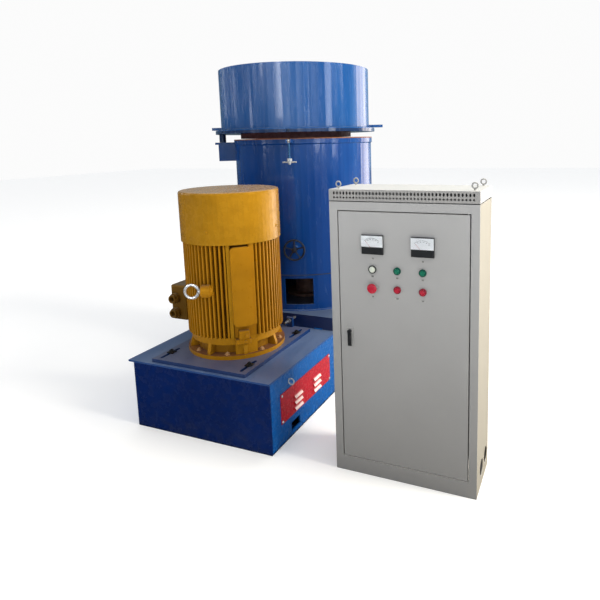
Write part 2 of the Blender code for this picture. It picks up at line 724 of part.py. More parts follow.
def name_pad():
    """The raised pad for the name plate, with rounded corners, its side step and the land under it."""
    inner = CORE_RADIUS - FIN_TIP
    bottom = FRAME_BOTTOM + PAD_BOTTOM
    top = FRAME_BOTTOM + PAD_TOP
    half = PAD_RADIUS * math.sin(math.radians((PAD_SIDES[1] - PAD_SIDES[0]) / 2))
    corners = []
    for x, y, start in ((half, top, 0.0), (-half, top, 90.0), (-half, bottom, 180.0), (half, bottom, 270.0)):
        centre = (x - math.copysign(PAD_ROUND, x), y - math.copysign(PAD_ROUND, y - (top + bottom) / 2))
        for k in range(5):
            point = polar(PAD_ROUND, start + 22.5 * k)
            corners.append((centre[0] + point.x, centre[1] + point.y))
    window = placed(prism(corners, inner / 2, PAD_RADIUS * 2), facing_out(sum(PAD_SIDES) / 2))
    pad = sector(inner, PAD_RADIUS, (PAD_SIDES[0] - FIN_MARGIN, PAD_SIDES[1] + FIN_MARGIN), bottom, top)
    step = sector(inner, STEP_RADIUS, (PAD_SIDES[1] - FIN_MARGIN, STEP_END), bottom, FRAME_TOP - SEAT)
    land = sector(inner, BLOCK_RADIUS, (PAD_SIDES[0], STEP_END), FRAME_BOTTOM, bottom + PAD_ROUND)
    return joined(combined(pad, window, "INTERSECT"), step, land)


def build_motor_frame(yellow):
    """The cast frame with its upright cooling fins, name pad, terminal seat and lifting boss."""
    body = prism(fin_outline(), FRAME_BOTTOM, FRAME_TOP)
    seat = sector(CORE_RADIUS - FIN_TIP, FIN_RADIUS, TERMINAL_SIDES,
                  FRAME_BOTTOM + TERMINAL_BOTTOM, FRAME_BOTTOM + TERMINAL_BOTTOM + TERMINAL_HEIGHT)
    body = joined(body, seat, name_pad())
    body.transform(Matrix.Translation((0.0, MOTOR_Y, 0.0)))
    end = BOSS_START + BOSS_LENGTH
    closed = end + BOSS_RADIUS / 2
    boss = turned([(0.0, BOSS_START), (BOSS_RADIUS - BOSS_EDGE, BOSS_START),
                   (BOSS_RADIUS, BOSS_START + BOSS_EDGE), (BOSS_RADIUS, end),
                   (BOSS_RADIUS / 2, closed), (0.0, closed)], 24)
    boss = placed(boss, eye_frame() @ Matrix.Rotation(math.pi / 2, 4, "Y"))
    piece("motor_frame", joined(body, boss), yellow)


def build_motor_fittings(yellow, zinc):
    """The fan cowl, the terminal box with its two glands, and the lifting eye."""
    edge = COWL_EDGE * (1.0 - math.sqrt(0.5))
    top = COWL_BOTTOM + COWL_LENGTH
    cowl = turned([(0.0, COWL_BOTTOM), (COWL_RADIUS, COWL_BOTTOM), (COWL_RADIUS, top - COWL_EDGE),
                   (COWL_RADIUS - edge, top - edge), (COWL_RADIUS - COWL_EDGE, top), (0.0, top)], MOTOR_STEPS)
    piece("motor_fan_cowl", placed(cowl, Matrix.Translation((0.0, MOTOR_Y, 0.0))), yellow)

    bottom = FRAME_BOTTOM + TERMINAL_BOTTOM
    height = TERMINAL_HEIGHT
    case = block((-TERMINAL_OUTER, MOTOR_Y - TERMINAL_HALF_WIDTH, bottom),
                 (-TERMINAL_INNER, MOTOR_Y + TERMINAL_HALF_WIDTH, bottom + height))
    bmesh.ops.bevel(case, geom=case.edges[:], offset=TERMINAL_BEVEL, segments=2, profile=0.5, affect="EDGES")
    bmesh.ops.recalc_face_normals(case, faces=case.faces)
    neck = block((-TERMINAL_INNER - TERMINAL_BEVEL, MOTOR_Y - TERMINAL_NECK_HALF, bottom + TERMINAL_BEVEL),
                 (-FIN_RADIUS - SEAT, MOTOR_Y + TERMINAL_NECK_HALF, bottom + height - TERMINAL_BEVEL))
    case = joined(case, neck)
    for rise in GLAND_HEIGHTS:
        gland = turned([(0.0, GLAND_LENGTH / 3), (GLAND_BORE, GLAND_LENGTH / 3), (GLAND_BORE, GLAND_LENGTH),
                        (GLAND_RADIUS * 0.8, GLAND_LENGTH), (GLAND_RADIUS * 0.8, GLAND_LENGTH * 0.6),
                        (GLAND_RADIUS, GLAND_LENGTH * 0.6), (GLAND_RADIUS, -TERMINAL_BEVEL),
                        (0.0, -TERMINAL_BEVEL)], 16)
        front = facing_front(GLAND_X, MOTOR_Y - TERMINAL_HALF_WIDTH, bottom + rise)
        case = joined(case, placed(gland, front))
    piece("motor_terminal_box", case, yellow)

    along = Matrix.Rotation(math.pi / 2, 4, "Y")
    shank = placed(rod(EYE_WIRE, EYE_RADIUS, BOSS_START - SEAT, 12), along)
    collar = placed(rod(EYE_WIRE * 2, BOSS_START - SEAT - EYE_WIRE, BOSS_START - SEAT, 16), along)
    eye = joined(torus(EYE_RADIUS, EYE_WIRE), shank, collar)
    piece("motor_lifting_eye", placed(eye, eye_frame()), zinc)


def build_stand(navy):
    """The low stand under the tank: a plate with its sides folded down."""
    half = Vector((STAND_HALF_WIDTH, STAND_HALF_DEPTH))
    inner = half - Vector((STAND_WALL, STAND_WALL))
    stand = loft([rectangle(-inner, inner, STAND_TOP - STAND_WALL), rectangle(-inner, inner, STAND_BOTTOM),
                  rectangle(-half, half, STAND_BOTTOM), rectangle(-half, half, STAND_TOP)])
    piece("tank_stand", stand, navy)


def clamp_lugs(degrees):
    """The two lugs and the pin that carry one swing bolt."""
    frame = facing_out(degrees)
    inside = TANK_RADIUS + BEAD_PROUD / 2
    plates = []
    for side in (-1.0, 1.0):
        near, far = sorted((side * LUG_GAP, side * (LUG_GAP + LUG_PLATE)))
        outer_corner = (far, TANK_RIM - SEAT, TANK_RADIUS + LUG_LENGTH)
        plates.append(block((near, TANK_RIM - LUG_DROP, inside), outer_corner))
    reach = LUG_GAP + LUG_PLATE / 2
    pin = placed(rod(CLAMP_PIN, -reach, reach, 12), Matrix.Rotation(math.pi / 2, 4, "Y"))
    pin = placed(pin, Matrix.Translation((0.0, CLAMP_PIVOT_HEIGHT, CLAMP_PIVOT_RADIUS)))
    return placed(joined(gathered(plates), pin), frame)


def build_tank(blue, dark, rubber):
    """The skirt with its window, the floor, the upright shell and the rim gasket."""
    skirt = turned([(TANK_INNER, SKIRT_BOTTOM), (TANK_RADIUS, SKIRT_BOTTOM),
                    (TANK_RADIUS, TANK_SEAM), (TANK_INNER, TANK_SEAM)], TANK_STEPS)
    window = sector(TANK_INNER - TANK_WALL * 4, TANK_RADIUS + TANK_WALL * 4, WINDOW_SIDES,
                    STAND_TOP + WINDOW_RISE, TANK_SEAM - WINDOW_DROP)
    piece("tank_skirt", cut(skirt, window), blue)

    bead = TANK_RADIUS + BEAD_PROUD
    shell = turned([(TANK_INNER, FLOOR_BOTTOM), (TANK_RADIUS, FLOOR_BOTTOM),
                    (TANK_RADIUS, TANK_RIM - BEAD_HEIGHT - BEAD_PROUD), (bead, TANK_RIM - BEAD_HEIGHT),
                    (bead, TANK_RIM), (TANK_INNER, TANK_RIM)], TANK_STEPS)
    for degrees in CLAMP_ANGLES.values():
        shell = joined(shell, clamp_lugs(degrees))
    boss = rod(WHEEL_BOSS, TANK_INNER + TANK_WALL / 2, WHEEL_BOSS_END)
    bore_end = WHEEL_BOSS_END - WHEEL_STEM_LENGTH - RUNNING
    bore = rod(WHEEL_STEM + RUNNING, bore_end, WHEEL_BOSS_END + WHEEL_STEM)
    frame = facing_out(WHEEL_ANGLE, height=WHEEL_HEIGHT)
    shell = cut(joined(shell, placed(boss, frame)), placed(bore, frame))
    piece("tank_shell", shell, blue)

    floor = turned([(SHAFT_RADIUS + SEAT, FLOOR_BOTTOM), (TANK_INNER - SEAT, FLOOR_BOTTOM),
                    (TANK_INNER - SEAT, FLOOR_TOP), (SHAFT_RADIUS + SEAT, FLOOR_TOP)], TANK_STEPS)
    piece("tank_floor", floor, dark)
    gasket = turned([(TANK_INNER, GASKET_BOTTOM), (bead, GASKET_BOTTOM),
                     (bead, GASKET_TOP), (TANK_INNER, GASKET_TOP)], TANK_STEPS)
    piece("tank_gasket", gasket, rubber)


def build_rotor(dark, steel):
    """The bearing housing under the tank's floor and the bladed rotor on top of it."""
    foot = STAND_TOP + SEAT
    head = FLOOR_BOTTOM - SEAT
    bore = SHAFT_RADIUS + SEAT
    housing = turned([(bore, foot), (HOUSING_FOOT, foot), (HOUSING_FOOT, foot + HOUSING_FLANGE),
                      (HOUSING_RADIUS, foot + HOUSING_FLANGE), (HOUSING_RADIUS, head - HOUSING_FLANGE),
                      (HOUSING_HEAD, head - HOUSING_FLANGE), (HOUSING_HEAD, head), (bore, head)],
                     MOTOR_STEPS // 2)
    piece("spindle_housing", housing, dark)

    hub_bottom = FLOOR_TOP + SEAT
    hub_top = hub_bottom + HUB_HEIGHT
    foot = hub_top - SHAFT_DEPTH
    hub = turned([(0.0, foot), (SHAFT_RADIUS, foot), (SHAFT_RADIUS, hub_bottom), (HUB_RADIUS, hub_bottom),
                  (HUB_RADIUS, hub_top - HUB_HEIGHT / 3), (HUB_RADIUS * 0.7, hub_top - HUB_HEIGHT / 9),
                  (HUB_RADIUS * 0.3, hub_top), (0.0, hub_top)], 32)
    low = hub_bottom + ROTOR_LIFT
    high = low + KNIFE_HEIGHT
    knives = []
    for turn in (0.0, math.pi):
        stations = []
        for reach, half in ((0.0, KNIFE_ROOT), (KNIFE_REACH, KNIFE_END)):
            stations.append([Vector((reach, -half, low)), Vector((reach, half, low)),
                             Vector((reach, half - KNIFE_EDGE, high)), Vector((reach, -half, high))])
        knives.append(placed(loft(stations), Matrix.Rotation(turn, 4, "Z")))
    piece("rotor", joined(hub, *knives), steel)


def build_handwheel(black):
    """The spoked handwheel on its stem."""
    face = WHEEL_BOSS_END + SEAT
    plane = face + WHEEL_HUB_LENGTH * 0.6
    hub = turned([(0.0, face - WHEEL_STEM_LENGTH), (WHEEL_STEM, face - WHEEL_STEM_LENGTH), (WHEEL_STEM, face),
                  (WHEEL_HUB, face), (WHEEL_HUB, face + WHEEL_HUB_LENGTH - WHEEL_STEM / 2),
                  (WHEEL_STEM, face + WHEEL_HUB_LENGTH), (0.0, face + WHEEL_HUB_LENGTH)], SMALL_STEPS)
    spokes = []
    for k in range(WHEEL_SPOKES):
        bar = placed(rod(SPOKE_RADIUS, WHEEL_STEM, WHEEL_RADIUS, 8), Matrix.Rotation(math.pi / 2, 4, "Y"))
        turn = Matrix.Rotation(math.radians(90.0 + 360.0 * k / WHEEL_SPOKES), 4, "Z")
        spokes.append(placed(bar, Matrix.Translation((0.0, 0.0, plane)) @ turn))
    rim = placed(torus(WHEEL_RADIUS, WHEEL_WIRE, 32), Matrix.Translation((0.0, 0.0, plane)))
    wheel = joined(hub, *spokes, rim)
    frame = facing_out(WHEEL_ANGLE, height=WHEEL_HEIGHT)
    piece("handwheel", placed(wheel, frame), black, frame @ Vector((0.0, 0.0, plane)))


def hinge_point(height):
    """The point on the hopper hinge's axis at a height: on the hopper wall's circle."""
    return Vector((*HOPPER_CENTRE, 0.0)) + polar(HOPPER_RADIUS, HINGE_ANGLE, height)


def build_hinge(blue):
    """The bracket on the tank, with the pin that the hopper turns on."""
    frame = facing_out(HINGE_ANGLE)
    half = BRACKET_WIDTH / 2
    body = block((-half, BRACKET_BOTTOM, TANK_RADIUS / 2), (half, BRACKET_TOP, TANK_RADIUS + BRACKET_LENGTH))
    shelf = block((-half * 0.8, BRACKET_TOP - BRACKET_SHELF / 2, TANK_RADIUS / 2),
                  (half * 0.8, SHELF_TOP, TANK_RADIUS + SHELF_LENGTH))
    body = placed(joined(body, shelf), frame)
    wall = TANK_RADIUS + SEAT
    rim = wall + BEAD_PROUD
    bead = TANK_RIM - BEAD_HEIGHT - SEAT
    body = cut(body, turned([(0.0, BRACKET_BOTTOM / 2), (wall, BRACKET_BOTTOM / 2), (wall, bead - BEAD_PROUD),
                             (rim, bead), (rim, TANK_RIM * 2), (0.0, TANK_RIM * 2)], TANK_STEPS))
    axis = hinge_point(0.0)
    pin = placed(rod(PIN_RADIUS, BRACKET_TOP, HOPPER_BOTTOM - PIN_RADIUS), Matrix.Translation(axis))
    piece("hinge_bracket", joined(body, pin), blue)


def flange_tab(degrees, length):
    """A flat bar that stands out of the hopper just above its flange."""
    bottom = FLANGE_TOP + TAB_LIFT
    bar = block((-TAB_WIDTH / 2, bottom, HOPPER_RADIUS - HOPPER_WALL / 2),
                (TAB_WIDTH / 2, bottom + TAB_THICKNESS, HOPPER_RADIUS + length))
    return placed(bar, facing_out(degrees, HOPPER_CENTRE))


def build_hopper(blue, maroon):
    """The feed hopper: a tall ring on a broad flange, its hinge sleeve, tabs and inner neck."""
    inner_wall = HOPPER_RADIUS - HOPPER_WALL
    throat = NECK_RADIUS - NECK_WALL
    body = turned([(throat, HOPPER_BOTTOM), (HOPPER_FLANGE, HOPPER_BOTTOM), (HOPPER_FLANGE, FLANGE_TOP),
                   (HOPPER_RADIUS, FLANGE_TOP), (HOPPER_RADIUS, HOPPER_TOP), (inner_wall, HOPPER_TOP),
                   (inner_wall, FLANGE_TOP), (throat, FLANGE_TOP)], TANK_STEPS)
    body.transform(Matrix.Translation((*HOPPER_CENTRE, 0.0)))
    tabs = [flange_tab(HINGE_ANGLE - 180.0, TAB_RIGHT_LENGTH), flange_tab(HINGE_ANGLE, TAB_LEFT_LENGTH)]
    body = joined(body, gathered(tabs))
    sleeve_bottom = SHELF_TOP + RUNNING
    bore = PIN_RADIUS + RUNNING
    roof = HOPPER_BOTTOM - PIN_RADIUS + RUNNING
    sleeve = turned([(0.0, roof), (bore, roof), (bore, sleeve_bottom), (SLEEVE_RADIUS, sleeve_bottom),
                     (SLEEVE_RADIUS, HOPPER_BOTTOM + HOPPER_FLANGE_HEIGHT / 2),
                     (0.0, HOPPER_BOTTOM + HOPPER_FLANGE_HEIGHT / 2)], SMALL_STEPS)
    body = joined(body, placed(sleeve, Matrix.Translation(hinge_point(0.0))))
    for degrees in CLAMP_ANGLES.values():
        notch = block((-NOTCH_HALF, HOPPER_BOTTOM - NOTCH_HALF, CLAMP_PIVOT_RADIUS - NOTCH_HALF),
                      (NOTCH_HALF, FLANGE_TOP + SEAT, HOPPER_FLANGE * 1.1))
        body = cut(body, placed(notch, facing_out(degrees)))
    axis = hinge_point(HOPPER_BOTTOM)
    piece("hopper_ring", body, blue, axis)
    top = HOPPER_BOTTOM - SEAT
    bottom = GASKET_TOP + SWING_GAP
    neck = turned([(throat, bottom), (NECK_RADIUS, bottom), (NECK_RADIUS, top), (throat, top)], TANK_STEPS)
    piece("hopper_neck", placed(neck, Matrix.Translation((*HOPPER_CENTRE, 0.0))), maroon, axis)


def build_clamp_bolts(zinc):
    """The eye bolts that hang from the tank's rim and swing up into the flange's notches."""
    for name, degrees in CLAMP_ANGLES.items():
        across = Matrix.Rotation(math.pi / 2, 4, "Y")
        down = Matrix.Rotation(math.pi / 2, 4, "X")
        eye = placed(turned([(CLAMP_PIN + RUNNING, -CLAMP_EYE_HALF), (CLAMP_EYE, -CLAMP_EYE_HALF),
                             (CLAMP_EYE, CLAMP_EYE_HALF), (CLAMP_PIN + RUNNING, CLAMP_EYE_HALF)], 16), across)
        shank = placed(rod(CLAMP_SHANK, CLAMP_PIN + CLAMP_EYE_HALF / 2, CLAMP_LENGTH, 12), down)
        nut = placed(hexagon_bar(CLAMP_NUT, CLAMP_NUT_PLACE, CLAMP_NUT_PLACE + CLAMP_NUT_THICKNESS), down)
        hub = rod(CLAMP_EYE, CLAMP_BAR_PLACE - CLAMP_EYE_HALF, CLAMP_BAR_PLACE + CLAMP_EYE_HALF, 16)
        bar = placed(rod(CLAMP_BAR, -CLAMP_BAR_HALF, CLAMP_BAR_HALF, 10), across)
        bar = placed(bar, Matrix.Translation((0.0, -CLAMP_BAR_PLACE, 0.0)))
        bolt = joined(eye, shank, nut, placed(hub, down), bar)
        frame = facing_out(degrees) @ Matrix.Translation((0.0, CLAMP_PIVOT_HEIGHT, CLAMP_PIVOT_RADIUS))
        piece(name, placed(bolt, frame), zinc, frame.translation)


def door_frame_loop(spread, depth):
    """A rectangle round the door's opening, that much larger, as deep behind the front face."""
    low = (DOOR_LEFT - SWING_GAP - spread, DOOR_BOTTOM - SWING_GAP - spread)
    high = (DOOR_RIGHT + SWING_GAP + spread, DOOR_TOP + SWING_GAP + spread)
    return front_loop(low, high, depth)


def front_loop(low, high, depth):
    """A rectangle of (x, z) corners, parallel to the cabinet's front and that far behind it."""
    corners = ((low[0], low[1]), (high[0], low[1]), (high[0], high[1]), (low[0], high[1]))
    return [Vector((x, CABINET_FRONT + depth, z)) for x, z in corners]


def pivot_matrix(height):
    """A place on the door's hinge axis."""
    return Matrix.Translation((DOOR_RIGHT - PIVOT_INSET, CABINET_FRONT + PIVOT_DEPTH, height))


def build_cabinet_case(grey, galvanised):
    """The cabinet's sheet-steel case, without its door."""
    sheet = CABINET_SHEET
    low = (CABINET_LEFT, 0.0)
    high = (CABINET_RIGHT, BODY_TOP)
    frame = loft([front_loop(low, high, 0.0), door_frame_loop(0.0, 0.0), door_frame_loop(0.0, RETURN_DEPTH),
                  door_frame_loop(sheet, RETURN_DEPTH), door_frame_loop(sheet, sheet),
                  front_loop(low, high, sheet)], closed=True)
    top_pin = rod(PIVOT_RADIUS, -PIVOT_LENGTH, SWING_GAP + sheet / 2, 12)
    bottom_pin = rod(PIVOT_RADIUS, -SWING_GAP - sheet / 2, PIVOT_LENGTH, 12)
    pins = [placed(top_pin, pivot_matrix(DOOR_TOP)), placed(bottom_pin, pivot_matrix(DOOR_BOTTOM))]
    piece("cabinet_front_frame", joined(frame, *pins), grey)

    side_front = CABINET_FRONT + sheet + SEAT
    side_back = CABINET_BACK - sheet - SEAT
    outline = outline_rectangle(side_front, side_back, 0.0, BODY_TOP)
    holes = [outline_circle(CABINET_FRONT + inward, CABLE_HOLE_Z, CABLE_HOLE, 32)
             for inward in CABLE_HOLES_IN]
    left = placed(pierced(outline, [], 0.0, sheet), facing_right(CABINET_LEFT, 0.0, 0.0))
    right = placed(pierced(outline, holes, 0.0, sheet), facing_right(CABINET_RIGHT - sheet, 0.0, 0.0))
    piece("cabinet_left_side", left, grey)
    piece("cabinet_right_side", right, grey)
    back = block((CABINET_LEFT, CABINET_BACK - sheet, 0.0), (CABINET_RIGHT, CABINET_BACK, BODY_TOP))
    piece("cabinet_back", back, grey)

    inner_left = CABINET_LEFT + sheet + SEAT
    inner_right = CABINET_RIGHT - sheet - SEAT
    floor = block((inner_left, side_front, CABINET_FLOOR), (inner_right, side_back, CABINET_FLOOR + sheet))
    piece("cabinet_floor", floor, grey)

    plate_y = CABINET_BACK - sheet - MOUNTING_STANDOFF
    left_edge = CABINET_LEFT + MOUNTING_MARGIN
    right_edge = CABINET_RIGHT - MOUNTING_MARGIN
    plate = block((left_edge, plate_y - sheet, MOUNTING_BOTTOM), (right_edge, plate_y, MOUNTING_TOP))
    studs = []
    for x in (left_edge + MOUNTING_MARGIN / 2, right_edge - MOUNTING_MARGIN / 2):
        for z in (MOUNTING_BOTTOM + MOUNTING_MARGIN, MOUNTING_TOP - MOUNTING_MARGIN):
            stud = rod(STUD_RADIUS, -MOUNTING_STANDOFF + SEAT, sheet / 2, 12)
            studs.append(placed(stud, facing_front(x, plate_y, z)))
    piece("mounting_plate", joined(plate, gathered(studs)), galvanised)


def roof_loop(inset, height):
    """The cabinet's outline in plan, pulled in on all sides."""
    low = (CABINET_LEFT + inset, CABINET_FRONT + inset)
    high = (CABINET_RIGHT - inset, CABINET_BACK - inset)
    return rectangle(low, high, height)


def build_cabinet_roof(grey):
    """The roof cap: a shallow box on a narrow neck, with four lifting eyes."""
    sheet = CABINET_SHEET
    foot = BODY_TOP + SEAT
    ledge = foot + ROOF_NECK
    lip = foot + sheet / 2
    roof = loft([roof_loop(sheet, CABINET_HEIGHT - sheet), roof_loop(sheet, ledge + sheet),
                 roof_loop(ROOF_INSET + sheet, ledge + sheet), roof_loop(ROOF_INSET + sheet, foot),
                 roof_loop(0.0, foot), roof_loop(0.0, lip), roof_loop(ROOF_INSET, lip),
                 roof_loop(ROOF_INSET, ledge), roof_loop(0.0, ledge), roof_loop(0.0, CABINET_HEIGHT)])
    upright = Matrix.Rotation(math.pi / 2, 4, "X")
    for x in (CABINET_LEFT + ROOF_EYE_IN[0], CABINET_RIGHT - ROOF_EYE_IN[0]):
        for y in (CABINET_FRONT + ROOF_EYE_IN[1], CABINET_BACK - ROOF_EYE_IN[1]):
            rise = ROOF_EYE_STEM + ROOF_EYE
            loop = placed(torus(ROOF_EYE, ROOF_EYE_WIRE, 16, 6), Matrix.Translation((0.0, 0.0, rise)) @ upright)
            stem = rod(ROOF_EYE_WIRE * 1.5, -sheet / 2, ROOF_EYE_STEM, 12)
            roof = joined(roof, placed(joined(stem, loop), Matrix.Translation((x, y, CABINET_HEIGHT))))
    piece("cabinet_roof", roof, grey)


def bezel():
    """A button's collar with the tube behind it, along Z with the door's face at zero."""
    bore = BUTTON_RADIUS + RUNNING
    chamfer = BEZEL_PROUD / 4
    return turned([(bore, -BEZEL_TAIL), (bore, BEZEL_PROUD), (BEZEL_RADIUS - chamfer, BEZEL_PROUD),
                   (BEZEL_RADIUS, BEZEL_PROUD - chamfer), (BEZEL_RADIUS, -CABINET_SHEET / 2),
                   (TAIL_RADIUS, -CABINET_SHEET / 2), (TAIL_RADIUS, -BEZEL_TAIL)], SMALL_STEPS)


def door_places():
    """The places of the lamp and the five buttons on the door, by column and row."""
    places = {}
    for column in range(3):
        x = CABINET_LEFT + COLUMN_IN + column * COLUMN_PITCH
        for row, drop in ROW_DROPS.items():
            places[(column, row)] = facing_front(x, CABINET_FRONT, DOOR_TOP - drop)
    return places


def build_door(grey):
    """The door: a shallow pan with a hinge stile, cut-outs, collars and the lock's plate."""
    sheet = CABINET_SHEET
    low = (DOOR_LEFT, DOOR_BOTTOM)
    high = (DOOR_RIGHT, DOOR_TOP)
    hollow_low = (DOOR_LEFT + sheet, DOOR_BOTTOM + sheet)
    hollow_high = (DOOR_RIGHT - DOOR_STILE, DOOR_TOP - sheet)
    door = loft([front_loop(low, high, 0.0), front_loop(low, high, DOOR_DEPTH),
                 front_loop(hollow_low, hollow_high, DOOR_DEPTH), front_loop(hollow_low, hollow_high, sheet)])
    plate = block((-LOCK_WIDTH / 2, 0.0, -sheet / 2), (LOCK_WIDTH / 2, LOCK_HEIGHT, LOCK_PROUD))
    door = joined(door, placed(plate, facing_front(LOCK_X, CABINET_FRONT, LOCK_BOTTOM)))
    holes = []
    for inward in METERS_IN.values():
        hole = rod(METER_DRUM + RUNNING, -sheet * 2, sheet, 32)
        centre = facing_front(CABINET_LEFT + inward, CABINET_FRONT, METER_BOTTOM + METER_HEIGHT / 2)
        holes.append(placed(hole, centre))
    collars = []
    for (column, row), place in door_places().items():
        is_lamp = column == 0 and row == "upper"
        radius = LAMP_STEM + SEAT if is_lamp else (BUTTON_RADIUS + TAIL_RADIUS) / 2
        holes.append(placed(rod(radius, -sheet * 2, sheet), place))
        if not is_lamp:
            collars.append(placed(bezel(), place))
    door = joined(cut(door, gathered(holes)), gathered(collars))
    socket = PIVOT_RADIUS + RUNNING
    depth = PIVOT_LENGTH + RUNNING
    top = placed(rod(socket, -depth, sheet, 12), pivot_matrix(DOOR_TOP))
    bottom = placed(rod(socket, -sheet, depth, 12), pivot_matrix(DOOR_BOTTOM))
    door = cut(door, top, bottom)
    piece("cabinet_door", door, grey, pivot_matrix(DOOR_BOTTOM).translation)


def build_meters(black):
    """The two panel meters, each with a drum that reaches through the door."""
    axis = pivot_matrix(DOOR_BOTTOM).translation
    for name, inward in METERS_IN.items():
        half = METER_WIDTH / 2
        case = block((-half, 0.0, SEAT), (half, METER_HEIGHT, METER_PROUD))
        front = [edge for edge in case.edges if all(vert.co.z > METER_PROUD / 2 for vert in edge.verts)]
        bmesh.ops.bevel(case, geom=front, offset=METER_BEVEL, segments=2, profile=0.5, affect="EDGES")
        cover = block((-half + METER_BEVEL, METER_BEVEL, METER_PROUD / 2),
                      (half - METER_BEVEL, METER_COVER, METER_PROUD + METER_COVER_PROUD))
        drum = rod(METER_DRUM, -METER_DRUM_LENGTH, METER_PROUD / 2, 32)
        drum.transform(Matrix.Translation((0.0, METER_HEIGHT / 2, 0.0)))
        meter = joined(case, cover, drum)
        foot = facing_front(CABINET_LEFT + inward, CABINET_FRONT, METER_BOTTOM)
        piece(name, placed(meter, foot), black, axis)


def build_buttons(colours):
    """The lamp, two green and two red push buttons, and the red mushroom stop."""
    places = door_places()
    lamp = turned([(0.0, -BEZEL_TAIL), (LAMP_STEM, -BEZEL_TAIL), (LAMP_STEM, SEAT), (LAMP_RADIUS, SEAT),
                   (LAMP_RADIUS, BEZEL_PROUD), (LAMP_LENS, BEZEL_PROUD), (LAMP_LENS * 0.8, LAMP_PROUD * 0.85),
                   (LAMP_LENS * 0.4, LAMP_PROUD), (0.0, LAMP_PROUD)], SMALL_STEPS)
    piece("indicator_lamp", placed(lamp, places[(0, "upper")]), colours["lens"])
    edge = BUTTON_RADIUS / 10
    for name, key, colour in (("start_button_left", (1, "upper"), "green"),
                              ("start_button_right", (2, "upper"), "green"),
                              ("stop_button_left", (1, "lower"), "red"),
                              ("stop_button_right", (2, "lower"), "red")):
        cap = turned([(0.0, -BUTTON_TAIL), (BUTTON_RADIUS, -BUTTON_TAIL), (BUTTON_RADIUS, BUTTON_PROUD - edge),
                      (BUTTON_RADIUS - edge, BUTTON_PROUD), (0.0, BUTTON_PROUD)], SMALL_STEPS)
        place = places[key]
        piece(name, placed(cap, place), colours[colour], place.translation)
    neck = BEZEL_PROUD + MUSHROOM_GAP
    head = turned([(0.0, -BUTTON_TAIL), (BUTTON_RADIUS, -BUTTON_TAIL), (BUTTON_RADIUS, neck),
                   (MUSHROOM_RADIUS, neck), (MUSHROOM_RADIUS, neck + MUSHROOM_GAP / 2),
                   (MUSHROOM_RADIUS * 0.8, MUSHROOM_PROUD - MUSHROOM_GAP / 4),
                   (MUSHROOM_RADIUS * 0.4, MUSHROOM_PROUD), (0.0, MUSHROOM_PROUD)], SMALL_STEPS)
    place = places[(0, "lower")]
    piece("emergency_stop", placed(head, place), colours["red"], place.translation)


def build_door_handle(black):
    """The lock's lever, which hangs from its pivot."""
    back = LOCK_PROUD + SEAT
    boss = rod(LEVER_WIDTH / 2, back, LOCK_PROUD + LEVER_STANDOFF + LEVER_THICKNESS)
    front = LOCK_PROUD + LEVER_STANDOFF
    stations = []
    for depth, inset in ((front, 0.0), (front + LEVER_THICKNESS * 0.7, 0.0),
                         (front + LEVER_THICKNESS, LEVER_ROUND)):
        half = LEVER_WIDTH / 2 - LEVER_SIDE - inset
        end = -LEVER_DROP + inset
        stations.append([Vector((-half, 0.0, depth)), Vector((half, 0.0, depth)),
                         Vector((half, end, depth)), Vector((-half, end, depth))])
    lever = joined(boss, loft(stations))
    place = facing_front(LOCK_X, CABINET_FRONT, LEVER_PIVOT)
    piece("door_handle", placed(lever, place), black, place.translation)


def build_all():
    """The whole machine and its cabinet."""
    navy = paint("navy_paint", (0.010, 0.022, 0.085), 0.35)
    blue = paint("blue_paint", (0.012, 0.085, 0.300), 0.28)
    top_paint = paint("worn_blue_paint", (0.110, 0.160, 0.270), 0.45)
    red = paint("red_paint", (0.420, 0.020, 0.012), 0.35)
    yellow = paint("yellow_paint", (0.620, 0.300, 0.020), 0.40)
    zinc = paint("zinc_plate", (0.620, 0.630, 0.640), 0.25, 1.0)
    dark = paint("dark_iron", (0.045, 0.045, 0.050), 0.60, 0.6)
    steel = paint("worn_steel", (0.300, 0.300, 0.310), 0.40, 1.0)
    rubber = paint("rim_gasket", (0.200, 0.075, 0.030), 0.80)
    maroon = paint("oxide_primer", (0.110, 0.018, 0.020), 0.60)
    black = paint("black_plastic", (0.015, 0.015, 0.016), 0.40)
    grey = paint("cabinet_enamel", (0.560, 0.550, 0.510), 0.45)
    galvanised = paint("galvanised_sheet", (0.520, 0.530, 0.540), 0.45, 0.9)
    colours = {"green": paint("green_plastic", (0.010, 0.230, 0.110), 0.35),
               "red": paint("red_plastic", (0.560, 0.015, 0.020), 0.35),
               "lens": paint("lamp_lens", (0.850, 0.850, 0.800), 0.20)}
    build_base(navy, blue, top_paint)
    build_guard(red)
    build_slide(top_paint, zinc)
    build_motor_flange(yellow)
    build_motor_frame(yellow)
    build_motor_fittings(yellow, zinc)
    build_stand(navy)
    build_tank(blue, dark, rubber)
    build_rotor(dark, steel)
    build_handwheel(black)
    build_hinge(blue)
    build_hopper(blue, maroon)
    build_clamp_bolts(zinc)
    build_cabinet_case(grey, galvanised)
    build_cabinet_roof(grey)
    build_door(grey)
    build_meters(black)
    build_buttons(colours)
    build_door_handle(black)


for leftover in list(bpy.data.objects):
    bpy.data.objects.remove(leftover, do_unlink=True)
build_all()
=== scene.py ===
# %% [markdown]
# # Plastic agglomerating and pelletizing machine
#
# Film and fibre scrap falls through a broad hopper into an upright tank, where a bladed
# rotor tears and warms it until it clots into pellets. A vertical motor on the same base
# drives the rotor with belts, and a steel cabinet beside it holds the switchgear. The
# solid model gives every main shape in metres. This lesson dresses it: paints, cast
# skin, bolts, welds, dials and light.

import math

import bmesh
import bpy
import numpy as np
from mathutils import Matrix, Vector


